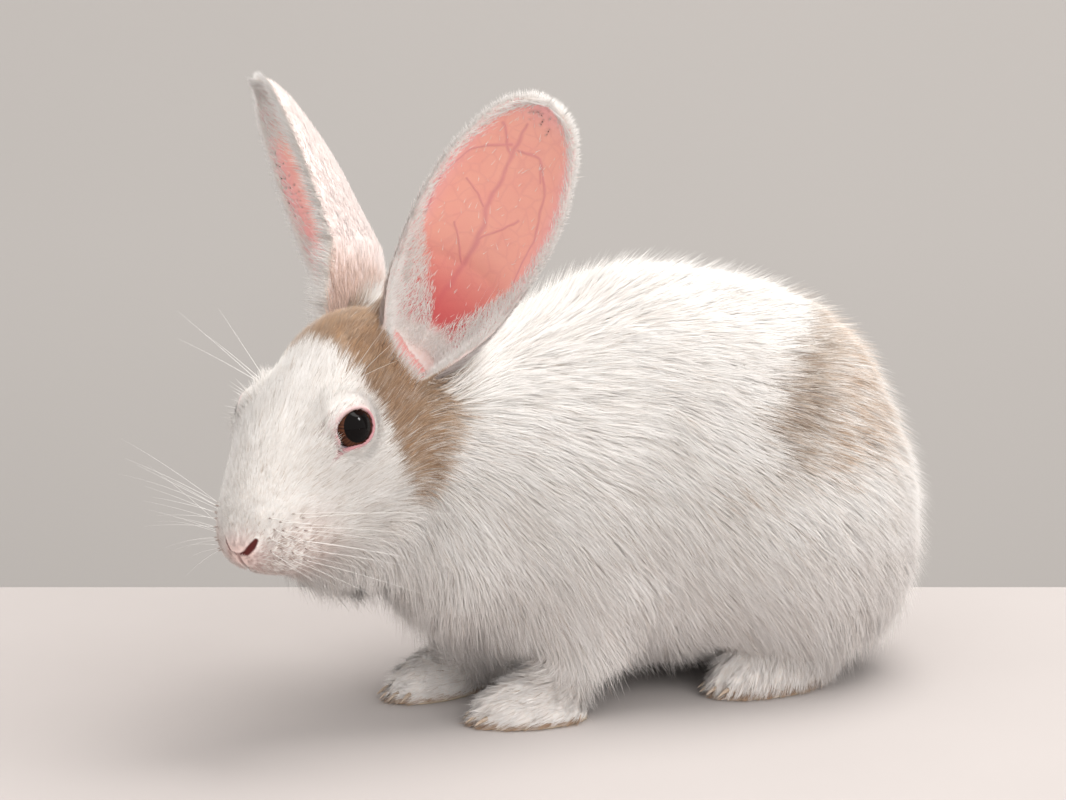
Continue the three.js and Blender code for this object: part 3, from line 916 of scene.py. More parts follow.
def skin_finish(colours, skin):
    finish = Finish("skin", {"Specular IOR Level": 0.3, "Sheen Weight": 0.1, "Emission Strength": EAR_GLOW})
    place = finish.place()
    tan, grey = finish.attribute("tan"), finish.attribute("grey")
    fur = hair_colour(finish, colours, tan, grey, finish.rise(finish.noise(place, 900.0), 0.1, 0.9), 0.3)
    ear_place = finish.attribute("ear_place", "Vector")
    veins = vein_mask(finish, ear_place)
    glow = finish.attribute("ear_glow")
    inner = finish.mix(glow, skin.ear_rim, skin.ear_inner)
    mottle = finish.rise(finish.noise(ear_place, 0.12, 4.0), 0.3, 0.8)
    inner = finish.mix(mottle * 0.25, inner, skin.ear_flush)
    inner = finish.mix(veins * 0.45, inner, skin.ear_vein)
    inner = finish.mix(finish.attribute("ear_deep"), inner, skin.ear_base)
    outer = finish.mix(veins * 0.12, skin.ear_back, skin.ear_vein)
    ear = finish.mix(finish.attribute("ear_inside"), outer, inner)
    on_ear = finish.attribute("ear")
    colour = finish.mix(on_ear, fur, ear)
    # The inside of the ears glows with a painted light of its own that stands for light through the thin ear.
    finish.feed("Emission Color", finish.mix(on_ear * finish.attribute("ear_inside"), (0.0, 0.0, 0.0), inner))
    # Bare rims, painted shade along the upper lid and in the nostrils and mouth, the nose and stained soles
    # are laid over the colour.
    layers = (
        ("bare", skin.lid), ("lash_line_and_fold_shade", skin.lash_line_and_fold_shade), ("nose", skin.nose), ("dark", skin.crease_shade),
        ("sole", skin.sole),
    )
    for name, tone in layers:
        colour = finish.mix(finish.attribute(name), colour, tone)
    finish.feed("Base Color", colour)
    grain = finish.noise(place, 2600.0, 3.0) * 0.5 + veins * 0.6 * finish.attribute("ear")
    finish.bump(grain, 0.00018)
    wet = finish.attribute("wet")
    finish.feed("Roughness", 0.6 - wet * 0.4)
    return finish.material


def eye_finish(eye):
    """Black pupil, brown iris with fine spokes, a dark ring, and a wet clear front."""
    finish = Finish("eye", {
        "Roughness": 0.3, "Specular IOR Level": 0.0, "Coat Weight": 0.5, "Coat Roughness": 0.03,
        "Coat IOR": 1.3})
    angle = finish.attribute("angle")
    spokes = finish.attribute("spokes", "Vector")
    streak = finish.noise(spokes, 3.2, 5.0)
    iris = finish.mix(finish.rise(streak, 0.3, 0.7), eye.iris_dark, eye.iris)
    ring = finish.rise(angle, 50.0, 60.0)
    iris = finish.mix(ring, iris, eye.rim)
    ball_colour = finish.mix(finish.rise(angle, 62.0, 68.0), iris, eye.white)
    pupil = 1 - finish.rise(angle + streak * 1.5, eye.pupil_angle - 0.6, eye.pupil_angle + 1.6)
    finish.feed("Base Color", finish.mix(pupil, ball_colour, (0.003, 0.002, 0.002)))
    return finish.material


def horn_finish(details):
    finish = Finish("claw_horn", {"Roughness": 0.34})
    along = finish.attribute("along")
    streak = finish.noise(finish.place(), 1400.0, 3.0)
    colour = finish.mix(along, details.claw_root, details.claw_tip)
    finish.feed("Base Color", finish.mix(finish.rise(streak, 0.4, 0.7) * 0.25, colour, (0.25, 0.12, 0.05)))
    return finish.material


def whisker_finish(details):
    finish = Finish("whisker", {"Roughness": 0.35})
    streak = finish.noise(finish.place(), 300.0)
    colour = finish.mix(streak * 0.3, details.whisker, (0.75, 0.72, 0.68))
    finish.feed("Base Color", finish.mix(finish.attribute("root"), colour, details.follicle))
    return finish.material


# ---------------------------------------------------------------- the skin

SKIN_TRIANGLES = 185000
FLESH = (
    "head", "neck", "trunk", "tail",
    *(f"{part}_{side}" for part in ("foreleg", "forepaw", "thigh", "hindfoot", "ear") for side in SIDES),
)


def ear_attributes(p):
    """What the skin's shader needs to know about the ears at points p."""
    on_ear, inside, glow, deep = np.zeros((4, len(p)))
    place = np.zeros((len(p), 3))
    for ear in EARS.values():
        share, angle, inwards, off, end = ear.locate(p)
        here = (np.hypot(off, end) < 2.2) & (share > -0.02)
        radius, reach, _ = ear.section(share)
        spread = np.abs(angle) / reach
        inside[here] = (ease(inwards, -0.35, 0.35) * ease(spread, 1.02, 0.96))[here]
        on_ear[here] = mix(ease(share, 0.06, 0.16), ease(share, 0.08, 0.13), inside)[here]
        glow[here] = (ease(spread, 1.0, 0.55) * ease(share, 1.0, 0.85))[here]
        deep[here] = ease(share, 0.42, 0.12)[here]
        local = np.stack([angle * radius * SIDES[ear.side], share * EAR_LENGTH, 0 * share], -1)
        place[here] = local[here]
        floor = (inwards > 1.5) & ~here & (share > -0.12) & (share < 0.3)
        on_ear[floor], inside[floor], glow[floor], deep[floor] = 1, 1, 0.3, 0.35
    return on_ear, inside, glow, deep, place


def paint_skin(mesh):
    """Writes the attributes that carry markings, bare places, painted shade round the eyes, nostrils and
    mouth, and ear coordinates.
    """
    p, _ = read_mesh(mesh)
    m = mirrored(to_head(p))
    tan, grey = markings(p)
    on_ear, inside, glow, deep, place = ear_attributes(p)
    near_eye = ((m - EYE) ** 2).sum(-1) < OPENING_REACH**2
    edge = np.where(near_eye, opening_field(m), 12)
    _, _, back, up = eye_place(m)
    top = ease(up + 0.25 * back, 1.5, 4.0)
    slit = slit_field(to_head(p))
    lips = line_field(m, LIP_LINE, LIP_WIDTH)
    near_nose = np.sqrt(dot(m - NOSE_TIP, m - NOSE_TIP))
    # Bare pink rims below and beside the opening. Over the upper lid a share of the same colour darkens the
    # skin: partly the lid's own beige, partly painted shade.
    rim = ease(edge, 1.2, 0.5) * (1 - 0.75 * top) + 0.36 * near_eye * top * ease(edge, 4.5, 2.5)
    # Painted shade: a dark line along the upper lid's edge and in the upper lid's fold.
    line = 0.55 * ease(edge, 0.7, 0.1) * top + 0.5 * near_eye * fold_share(edge, back, up)
    attributes = {
        "tan": tan, "grey": grey, "ear": on_ear, "ear_inside": inside, "ear_glow": glow, "ear_deep": deep,
        "ear_place": place, "bare": rim, "wet": ease(edge, 0.9, 0.1), "lash_line_and_fold_shade": line,
        # Dark red inside the nostrils and along the mouth's line: partly the skin's own colour, partly
        # painted shade in these slits.
        "dark": np.maximum(ease(slit, 0.5, 0.0), 0.7 * ease(lips, 0.7, -0.2)),
        "nose": 0.55 * ease(near_nose, 7.5, 2.5), "sole": ease(p[:, 2], 1.2, 0.4),
    }
    for name, values in attributes.items():
        set_attribute(mesh, name, values)


def build_skin(skin_colours, coat_colours):
    points, quads = surface_of(skin_field, SKIN_PLANES)
    for _ in range(2):
        points, _ = settle(skin_field, points, most=0.4)
    points[:, 2] = np.maximum(points[:, 2], 0)
    skin = mesh_piece("skin", points, quads)
    thinner = skin.modifiers.new("thinner", "DECIMATE")
    thinner.ratio = min(1.0, SKIN_TRIANGLES / (2 * len(quads)))
    mesh = plain_mesh(skin)
    paint_skin(mesh)
    mesh.materials.clear()
    mesh.materials.append(skin_finish(coat_colours, skin_colours))
    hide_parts(*FLESH)
    return finish_piece(skin)


# ---------------------------------------------------------------- tufts

OFBAKE = "OFBake"
PATCH = 0.003                           # across one tuft's patch in its bake map
MARKS = ("tan", "grey", "blush_and_bounce", "tint")
# One tuft's faces as (corner, place across its patch, place up it): corners 0 to 2 are its root, 3 its tip.
TUFT_FACES = np.array((
    ((0, -0.5, 0), (2, 0.5, 0), (1, 0, 0.2)),
    ((0, -0.5, 0), (1, 0.5, 0), (3, 0, 1)),
    ((1, -0.5, 0), (2, 0.5, 0), (3, 0, 1)),
    ((2, -0.5, 0), (0, 0.5, 0), (3, 0, 1)),
))


def tuft_mesh(name, hairs, unwrap, material):
    """Closed three-sided hairs from a dictionary of arrays.

    It holds their roots, tips, normals, widths, softness and marks.
    """
    root, tip, normal = hairs["root"], hairs["tip"], hairs["normal"]
    count = len(root)
    tangent = unit(tip - root)
    side = unit(np.cross(normal, tangent))
    up = np.cross(tangent, side)
    half = hairs["width"][:, None] / 2
    low = root - up * half * 0.3
    points = np.stack([low + side * half, root + up * half * 0.6, low - side * half, tip], 1).reshape(-1, 3)
    corners = TUFT_FACES[..., 0].astype(int)
    faces = (np.arange(count)[:, None, None] * 4 + corners).reshape(-1, 3)
    outward = np.stack([side * 0.8, up, -side * 0.8, 0.75 * tangent + 0.25 * up], 1)
    soft = hairs["soft"] * (1 - ease(dot(tangent, normal), 0.3, 0.7))
    shading = unit(mix(outward, normal[:, None] * 1.5, soft[:, None, None])).reshape(-1, 3)
    piece = mesh_piece(name, points, faces, material, shading)
    set_attribute(piece.data, "along", np.tile((0.0, 0.0, 0.0, 1.0), count))
    for mark in MARKS:
        set_attribute(piece.data, mark, np.repeat(hairs[mark], 4))
    patch = (TUFT_FACES[..., 1:] - (0, 0.5)).reshape(-1, 2) * PATCH
    uv = (fill_square(unwrap)[:, None] + patch).reshape(-1, 2)
    piece.data.uv_layers.new(name=OFBAKE).data.foreach_set("uv", uv.astype(np.float32).ravel())
    return finish_piece(piece)


def scatter(points, triangles, density, rng):
    """Random places on triangles, as many for each square millimetre as density says at their middles."""
    a, b, c = (points[triangles[:, k]] for k in range(3))
    cross = np.cross(b - a, c - a)
    area = np.linalg.norm(cross, axis=1) / 2
    weight = area * density((a + b + c) / 3)
    count = rng.poisson(weight)
    pick = np.repeat(np.arange(len(triangles)), count)
    u, v = rng.random(len(pick)), rng.random(len(pick))
    flip = u + v > 1
    u, v = np.where(flip, 1 - u, u), np.where(flip, 1 - v, v)
    return a[pick] + (b - a)[pick] * u[:, None] + (c - a)[pick] * v[:, None]


def head_share(p):
    """1 on the head, 0 on the trunk, and a smooth change over the neck."""
    trunk = np.minimum(trunk_field(p, 1.0), ball(p, *RUFF) + THROAT_DEPTH)
    return ease(trunk - head_field(p, 1.0), -5, 12)


def foot_share(p):
    """1 on the feet, 0 elsewhere."""
    return ease(feet_field(p, 1.0), 3, 0.3) * ease(p[..., 2], 30, 18)


def near_ear(ear, p):
    """1 on the head behind and beside an ear's root, 0 away from it."""
    off = p - (ear.base + 4 * ear.axis)
    along = off @ ear.axis
    aside = np.sqrt(np.maximum(dot(off, off) - along**2, 0))
    return ease(aside, 24, 12) * ease(np.abs(along), 20, 10) * ease(off @ ear.face, 9, 1)


def lie_of_coat(p, normal):
    """The way the hair lies on the skin at p."""
    x, y, z = p[..., 0], p[..., 1], p[..., 2]
    slant = np.radians(np.interp(z, (15, 40, 70, 100, 120, 137), (68, 58, 46, 32, 14, 4)))
    slant = slant + np.radians(30) * ease(y, 70, 110) + np.radians(38) * ease(y, -35, -75) * ease(z, 95, 60)
    body = np.stack([0.12 * np.sign(x) * ease(np.abs(x), 0, 20), np.cos(slant), -np.sin(slant)], -1)
    foot = np.broadcast_to(vec(0, -0.85, -0.5), p.shape)
    feet = foot_share(p)[..., None]
    body = mix(body, foot, feet * ease(y, 30, -10)[..., None] + feet * ease(z, 20, 14)[..., None] * 0.6)
    q = to_head(p)
    spread = unit(q - vec(0, -49, 1)) + vec(0, 0.55, 0)
    off_eye = mirrored(q) - EYE
    sign = np.sign(q[..., 0] + 1e-9)
    away = np.stack([off_eye[..., 0] * sign, off_eye[..., 1], off_eye[..., 2]], -1)
    below = ease(np.sqrt(dot(off_eye, off_eye)), 15, 8) * ease(off_eye[..., 2], 4, -2)
    spread = mix(spread, unit(away), (0.6 * below)[..., None])
    head = spread @ HEAD_AXES.T
    lie = along_tangent(mix(body, head, head_share(p)[..., None]), normal)
    for ear in EARS.values():
        lie = mix(lie, ear.axis - 0.45 * ear.face + 0.25 * normal, near_ear(ear, p)[..., None])
    return unit(lie)


def turned(direction, normal, angle):
    """A direction in the surface, turned about the normal."""
    return direction * np.cos(angle)[..., None] + np.cross(normal, direction) * np.sin(angle)[..., None]


LIE_NOISE = Noise(21)
CURL_NOISE = Noise(22)


def hair_lie(p, normal, rng, jitter):
    """The lie of the coat with its slow waves, its small swirls, and every tuft's own angle."""
    angle = 0.22 * LIE_NOISE(p, 22) + 0.20 * CURL_NOISE(p, 6) + rng.normal(0, jitter, len(p))
    return turned(lie_of_coat(p, normal), normal, angle)


def gather(tips, roots, share, pull, rng):
    """Pulls tips part of the way to the tip of their lock's leader."""
    leaders = rng.choice(len(roots), max(1, round(len(roots) * share)), replace=False)
    tree = KDTree(len(leaders))
    for i in leaders:
        tree.insert(roots[i], int(i))
    tree.balance()
    leader = np.array([tree.find(r)[1] for r in roots])
    goal = tips[leader] + 0.35 * (roots - roots[leader])
    return mix(tips, goal, pull[:, None])


def coat_size(p):
    """Length and width of tufts at roots p, and how far each root is on the head and on a foot."""
    coat = bpy.context.scene.rabbit_coat
    q = to_head(p)
    head, foot = head_share(p), foot_share(p)
    muzzle = ease(q[..., 1], 6, -40)
    eye = np.sqrt(dot(mirrored(q) - EYE, mirrored(q) - EYE))
    on_head = mix(coat.head_length, coat.muzzle_length, muzzle) / MM * mix(0.5, 1.0, ease(eye, 8, 16))
    length = mix(coat.body_length / MM, on_head, head)
    width = mix(coat.body_width / MM, mix(0.26, 0.17, muzzle), head)
    return mix(length, coat.foot_length / MM, foot), mix(width, 0.26, foot), head, foot


def round_body(p):
    """Unwrap of the trunk round its long axis: angle and place along it, each from 0 to 1."""
    angle = np.arctan2(p[:, 0], p[:, 2] - 55) / (2 * np.pi) + 0.5
    return np.stack([angle, (p[:, 1] + 110) / 240], -1)


def round_head(p):
    q = to_head(p)
    angle = np.arctan2(q[:, 0], q[:, 2] + 3) / (2 * np.pi) + 0.5
    return np.stack([angle, (q[:, 1] + 50) / 110], -1)


def over_feet(p):
    """Unwrap of the four feet from above and round their sides, one in each quarter."""
    quarter = np.stack([p[:, 0] > 0, p[:, 1] > 5], -1) * 0.5
    x0 = np.where(p[:, 1] > 5, HINDFOOT[0], 20)
    across = np.arctan2(np.abs(p[:, 0]) - x0, p[:, 2] - 6) / (2 * np.pi) + 0.5
    down = np.where(p[:, 1] > 5, (p[:, 1] - 15) / 80, (p[:, 1] + 70) / 80)
    return quarter + 0.5 * np.stack([across, np.clip(down, 0, 1)], -1)


def fill_square(uv):
    """Stretches an unwrap so that the piece's roots fill their map."""
    low, high = uv.min(0), uv.max(0)
    return (uv - low) / np.maximum(high - low, 1e-6) * (1 - 4 * PATCH) + 2 * PATCH


# Name, which roots it takes of those that are left, and the unwrap it uses.
BODY_COATS = (
    ("coat_feet", lambda p, head, foot: foot > 0.5, over_feet),
    ("coat_face_left", lambda p, head, foot: (head > 0.5) & (to_head(p)[:, 0] > 0), round_head),
    ("coat_face_right", lambda p, head, foot: head > 0.5, round_head),
    ("coat_chest_left", lambda p, head, foot: (p[:, 1] < -32) & (p[:, 0] > 0), round_body),
    ("coat_chest_right", lambda p, head, foot: p[:, 1] < -32, round_body),
    ("coat_side_left", lambda p, head, foot: (p[:, 1] < 28) & (p[:, 0] > 0), round_body),
    ("coat_side_right", lambda p, head, foot: p[:, 1] < 28, round_body),
    ("coat_rump_left", lambda p, head, foot: (p[:, 1] < 74) & (p[:, 0] > 0), round_body),
    ("coat_rump_right", lambda p, head, foot: p[:, 1] < 74, round_body),
    ("coat_tail_left", lambda p, head, foot: p[:, 0] > 0, round_body),
    ("coat_tail_right", lambda p, head, foot: p[:, 0] < 1000, round_body),
)


def hair_density(p):
    """Tufts for each square millimetre of skin, with bare places left out."""
    coat = bpy.context.scene.rabbit_coat
    m = mirrored(to_head(p))
    head, foot = head_share(p), foot_share(p)
    density = mix(coat.body_density, coat.head_density * mix(1, 1.5, ease(m[..., 1], -5, -38)), head)
    density = mix(density, coat.foot_density, foot)
    near_eye = ((m - EYE) ** 2).sum(-1) < OPENING_REACH**2
    edge = np.where(near_eye, opening_field(m), 12)
    _, _, back, up = eye_place(m)
    density = density * ease(edge, 0.6, 1.5) * (1 - 0.9 * (edge < 9) * fold_share(edge, back, up))
    density = density * ease(slit_field(to_head(p)), 0.2, 0.7)
    density = density * ease(line_field(m, LIP_LINE, LIP_WIDTH), 0.1, 0.8)
    for ear in EARS.values():
        share, _, inwards, off, end = ear.locate(p)
        density = density * (1 - ease(share, 0.04, 0.08) * ease(np.hypot(off, end), 2.6, 2.2))
        density = density * (1 - ease(inwards, -0.3, 0.4) * ease(share, -0.20, -0.14) * (share < 0.3))
    return density * (p[..., 2] > 1.0)


def skin_inside(p):
    """The skin without its openings, for hairs to lie on."""
    m = mirrored(to_head(p))
    near_eye = ((m - EYE) ** 2).sum(-1) < LID_REACH**2
    return change_near(body_field(p, 1.0), near_eye, with_lids, m)


def speckled(share, p, rng):
    """Turns a smooth share of a colour into hairs that mostly have it or mostly don't."""
    grain = 0.5 + 0.30 * FINE_NOISE(p + 70, 1.7) + rng.normal(0, 0.16, len(p))
    return ease(share - grain, -0.35, 0.35)


# Kinds of tuft: share of all, length, width, lowest and highest rise of the tip through the coat's
# depth, and softness.
KINDS = np.array((
    (0.25, 0.80, 2.10, 0.40, 0.70, 0.90),       # broad and low, to fill the coat
    (0.49, 1.00, 0.95, 0.72, 1.00, 0.86),       # most of the coat
    (0.13, 1.50, 0.80, 0.90, 1.15, 0.80),       # long fine ones over it
    (0.13, 1.10, 0.70, 1.05, 1.80, 0.75),       # wisps that stand out
))


def body_hairs(rng):
    """Every tuft but the ears', with its kind, place, lie, size and marks."""
    points, triangles = read_mesh(bpy.data.objects["skin"].data)
    roots = scatter(points, triangles, hair_density, rng)
    _, normal = settle(skin_inside, roots)
    depth = np.clip(-body_field(roots, 0.0), 0.7, 8)
    length, width, head, foot = coat_size(roots)
    count = len(roots)
    kind = KINDS[rng.choice(len(KINDS), count, p=KINDS[:, 0])]
    length = length * rng.uniform(0.75, 1.2, count) * mix(kind[:, 1], np.minimum(kind[:, 1], 1), head)
    width = width * kind[:, 2] * rng.uniform(0.8, 1.2, count)
    high = mix(kind[:, 4], np.minimum(kind[:, 4], 1.1), head)
    rise = depth * mix(kind[:, 3], high, rng.random(count))
    lie = hair_lie(roots, normal, rng, 0.15)
    collar = np.minimum(sum(near_ear(ear, roots) for ear in EARS.values()), 1)
    hang = 0.75 * ease(roots[:, 2], 42, 22) * (1 - foot) * (1 - head) * ease(normal[:, 2], -0.8, -0.3)
    length = length * (1 + 0.8 * collar + 0.4 * hang)
    free = roots + (lie - hang[:, None] * vec(0, 0, 0.3)) * length[:, None] + normal * rise[:, None]
    tip, _ = settle(skin_inside, free, rise)
    tip = mix(tip, free, np.maximum(collar, hang)[:, None])
    tip = gather(tip, roots, 0.03, mix(0.36, 0.2, head) * mix(1, 1.4, foot) * (kind[:, 4] < 1.2), rng)
    tip[:, 2] = np.maximum(tip[:, 2], 0.2)
    seen = mix(roots, tip, 0.65)
    tan, grey = markings(seen)
    tan = np.maximum(tan, 0.7 * foot * ease(seen[:, 2], 3.0, 1.0))
    # The muzzle's tufts are greyer and darker as painted shade, and pinker where skin shows through the short
    # hair.
    muzzle = head * ease(to_head(roots)[:, 1], -20, -38) * ease(to_head(roots)[:, 2], 10, 0)
    grey = np.maximum(grey, 0.42 * muzzle)
    off_nose = to_head(roots) - NOSE_TIP
    lock = 0.5 + 0.7 * FINE_NOISE(roots * vec(1, 0.4, 1) + 15, 3.0)
    return {
        "root": roots - normal * 0.3, "tip": tip, "normal": normal, "width": width,
        "soft": kind[:, 5] * (1 - ease(collar, 0.05, 0.35)), "head": head, "foot": foot,
        "tan": speckled(tan, seen, rng), "grey": speckled(grey, seen + 30, rng),
        # Blush: skin through thin hair near the nose and on the muzzle; low on the trunk, painted warm light
        # bounced from the floor.
        "blush_and_bounce": 0.35 * ease(np.sqrt(dot(off_nose, off_nose)), 10, 3) + 0.28 * muzzle
                + 0.07 * (1 - head) * ease(roots[:, 2], 85, 30),
        # The muzzle's tufts take a lower tint, which darkens them as painted shade.
        "tint": np.clip(0.5 * rng.random(count) + 0.5 * lock - 0.5 * muzzle - 0.3 * head, 0, 1),
    }


def build_body_coat(material):
    hairs = body_hairs(np.random.default_rng(31))
    for name, chosen, unwrap in BODY_COATS:
        take = chosen(hairs["root"], hairs["head"], hairs["foot"])
        tuft_mesh(name, {k: v[take] for k, v in hairs.items()}, unwrap(hairs["root"][take]), material)
        hairs = {k: v[~take] for k, v in hairs.items()}


# ---------------------------------------------------------------- the ears' hair

# Inner edge of the white band along the front of the hollow: share of the length, mm across from the midline.
FRONT_BAND = ((0.0, 3), (0.09, 1), (0.24, -9.5), (0.38, -19.5), (0.53, -24.5), (0.75, -22.6), (1.0, -1))
BACK_BAND = ((0.0, 3), (0.09, 2), (0.22, 13), (0.40, 22), (0.60, 23), (0.80, 17.5), (1.0, 1))
FRINGE_STEPS = 500                      # along each margin of an ear


def spread_over_ear(ear, density, rng, low=0.02):
    """Random shares and spreads over one face of an ear, with density in tufts for each square millimetre."""
    widest = ear.width(EAR_SHARES).max()
    count = rng.poisson(EAR_LENGTH * (1 - low) * 2 * widest * density)
    share, spread = rng.uniform(low, 1, count), rng.uniform(-1, 1, count)
    keep = rng.random(count) < ear.width(share) / widest
    return share[keep], spread[keep]


def lying_hairs(ear, share, spread, face, length, turn, rise, rng):
    """Hairs on one face of an ear, from its root towards its tip; turn leans them to the nearer margin."""
    wall = ear.half_wall(share, spread * np.interp(share, EAR_SHARES, EAR_REACHES))
    root, inner = ear.point(share, spread, face * (wall - 0.25))
    angle = np.sign(spread) * turn + rng.normal(0, 0.2, len(share))
    far = share + length * np.cos(angle) / EAR_LENGTH
    aside = spread + length * np.sin(angle) / np.maximum(ear.width(share), 3)
    wide = np.maximum(1.0, 1.0 + 1.5 / np.maximum(ear.width(np.minimum(far, 1)), 3))
    tip, _ = ear.point(far, np.clip(aside, -wide, wide), face * (wall + rise))
    lift = vec(0, 0, 0.45 if face > 0 else 0.1)
    return root, tip, unit(0.5 * inner * face + (1.0 if face > 0 else -0.6) * ear.face + lift)


def fringe(ear, count, rng):
    """Hairs round the whole margin that stand out past it."""
    share = 1 - np.linspace(0, 0.97, FRINGE_STEPS) ** 2
    groups = []
    for edge in (-1, 1):
        rim, inner = ear.point(share, np.full(FRINGE_STEPS, float(edge)))
        run = np.linalg.norm(np.diff(rim, axis=0), axis=1)
        travelled = np.concatenate([[0], np.cumsum(run)]) / run.sum()
        at = np.interp(rng.uniform(0, 1, count // 2), travelled, range(FRINGE_STEPS))
        i = np.minimum(at.astype(int), FRINGE_STEPS - 2)
        along = unit(rim[i + 1] - rim[i])
        out = unit(np.cross(along, inner[i]))
        middle = ear.base + ear.axis * (share[i] * EAR_LENGTH * 0.85)[:, None]
        out = out * np.sign(dot(out, rim[i] - middle))[:, None]
        root = mix(rim[i], rim[i + 1], (at - i)[:, None]) + inner[i] * rng.normal(0, 0.4, i.shape)[:, None]
        longer = EAR_SHAPES[ear.side]["front_fringe"] if edge * SIDES[ear.side] < 0 else 1.0
        heading = unit(out + ear.axis * 1.1 / longer + rng.normal(0, 0.2, out.shape))
        length = rng.uniform(1.7, 3.4, len(out)) * mix(longer, 1, ease(share[i], 0.7, 0.9))
        length = length * mix(1.6, 1.0, ease(share[i], 0.1, 0.4))
        normal = unit(ear.face + 0.3 * out + vec(0, 0, 0.4))
        tip = root + heading * length[:, None]
        groups.append((root - out * 0.8, tip, normal, share[i], 0 * share[i] + edge))
    return tuple(np.concatenate(a) for a in zip(*groups))


def build_ear_coat(ear, material, seed):
    rng = np.random.default_rng(seed)
    front = SIDES[ear.side]
    groups = []

    def group(root, tip, normal, share, spread, inner_side, width, blush_and_bounce, soft):
        noise = PATCH_NOISE(root, 7) + 0.6 * FINE_NOISE(root, 2.5)
        tan = ease(0.20 - share - 0.10 * spread * front + 0.04 * noise, 0, 0.10) * (not inner_side)
        streak = ease(FINE_NOISE(root * vec(1, 1, 0.35), 1.6) + 0.5 * noise, 0.25, 0.9)
        # Grey streaks that fade up the ear; inside the front margin they are greyer, which is painted shade.
        grey = streak * ease(share, 0.65, 0.2) * (0.10 + 0.28 * (spread * front < 0) * inner_side)
        groups.append({
            "root": root, "tip": tip, "normal": normal, "width": width * rng.uniform(0.7, 1.2, len(root)),
            "tan": tan * 0.8, "grey": grey, "blush_and_bounce": np.full(len(root), blush_and_bounce), "tint": rng.random(len(root)),
            "soft": soft * np.ones(len(root)),
            "uv": np.stack([(spread + 1) / 4 + 0.5 * inner_side, share], -1)})

    # The back: a short flat coat all over.
    share, spread = spread_over_ear(ear, 3.0, rng)
    length = rng.uniform(3.5, 6.5, len(share)) * np.interp(share, (0, 0.25, 0.75, 1), (2.0, 1, 0.9, 0.35))
    rise = rng.uniform(0.3, 1.2, len(share)) * mix(2.0, 1.0, ease(share, 0, 0.25))
    back = lying_hairs(ear, share, spread, -1, length, 0.12, rise, rng)
    group(*back, share, spread, False, 0.26, 0.34, 0.8 * ease(np.abs(spread), 1.0, 0.8))
    # Inside: dense white bands along the front and back margins, and fine thin hairs in the hollow.
    share, spread = spread_over_ear(ear, 6.5, rng)
    across = spread * ear.width(share) * front
    edge = rng.normal(0, 1.3, len(share))
    front_edge = np.interp(share, *zip(*FRONT_BAND)) + edge
    back_edge = np.interp(share, *zip(*BACK_BAND)) + edge
    band = (across < front_edge) | (across > back_edge)
    margin = mix(2.4, 4.5, ease(share, 0.7, 0.97)) / np.maximum(ear.width(share), 4)
    band |= np.abs(spread) > 1 - margin + 0.05 * edge
    band &= rng.random(len(share)) < mix(1.0, 0.6, ease(share, 0.3, 0.7))
    band |= rng.random(len(share)) < 0.008
    band |= share > EAR_SHAPES[ear.side]["cap"] + 0.02 * edge
    share, spread = share[band], spread[band]
    length = mix(3.4, 3.9, ease(share, 0.0, 0.5)) * rng.uniform(0.6, 1.2, len(share))
    rise = rng.uniform(0.3, 1.9, len(share)) * mix(1.5, 1.0, ease(share, 0.05, 0.45))
    inside = lying_hairs(ear, share, spread, 1, length, 0.35, rise, rng)
    group(*inside, share, spread, True, 0.21, 0.07, 0.8)
    # A fringe round the margin.
    *rim, share, spread = fringe(ear, 7000, rng)
    group(*rim, share, spread, True, 0.19, 0.03, 0.0)
    hairs = {key: np.concatenate([g[key] for g in groups]) for key in groups[0]}
    tuft_mesh(f"coat_ear_{ear.side}", hairs, hairs.pop("uv"), material)


# ---------------------------------------------------------------- eyes

def dome(centre, look, sideways, radius_at, angles, spokes, place):
    """Rings of points round an axis, from its pole outwards, and their quads."""
    third = np.cross(look, sideways)
    turn = np.linspace(0, 2 * np.pi, spokes, endpoint=False)
    around = np.cos(turn)[:, None] * sideways + np.sin(turn)[:, None] * third
    rings = [place(centre + radius_at(a) * (math.cos(a) * look + math.sin(a) * around)) for a in angles]
    i, j = np.meshgrid(np.arange(len(angles) - 1), np.arange(spokes), indexing="ij")
    k = (j + 1) % spokes
    quads = np.stack([i * spokes + j, (i + 1) * spokes + j, (i + 1) * spokes + k, i * spokes + k], -1)
    return np.concatenate(rings), quads.reshape(-1, 4)


def side_of_head(side):
    """Turns points of the head's frame, left side, into the design frame on either side."""
    flip = vec(SIDES[side], 1, 1)
    return lambda q: from_head(q * flip)


PUPIL_SHIFT = 0.13                      # how far the pupil sits behind the opening's middle


def build_eye(side, material):
    """The eyeball, a little more curved in front, with its angle from the pupil's middle for the shader."""
    spokes = 64
    angles = np.radians(np.concatenate([[0.15], np.arange(3, 177, 3), [179.85]]))
    bulge = lambda a: EYE_RADIUS + 0.45 * math.exp(-((a / 0.62) ** 2))
    points, quads = dome(EYE, EYE_LOOK, EYE_BACK, bulge, angles, spokes, side_of_head(side))
    if side == "right":
        quads = quads[:, ::-1]
    eye = mesh_piece(f"eyeball_{side}", points, quads, material)
    mesh = eye.data
    gaze = unit(EYE_LOOK + PUPIL_SHIFT * EYE_BACK)
    off = unit((read_mesh(mesh)[0] - HEAD) @ HEAD_AXES * vec(SIDES[side], 1, 1) - EYE)
    set_attribute(mesh, "angle", np.degrees(np.arccos(np.clip(off @ gaze, -1, 1))))
    turn = np.tile(np.linspace(0, 2 * np.pi, spokes, endpoint=False), len(angles))
    reach = np.repeat(angles, spokes)
    set_attribute(mesh, "spokes", np.stack([3 * np.cos(turn), 3 * np.sin(turn), 0.5 * reach], -1))
    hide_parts(f"eye_{side}")
    return finish_piece(eye)


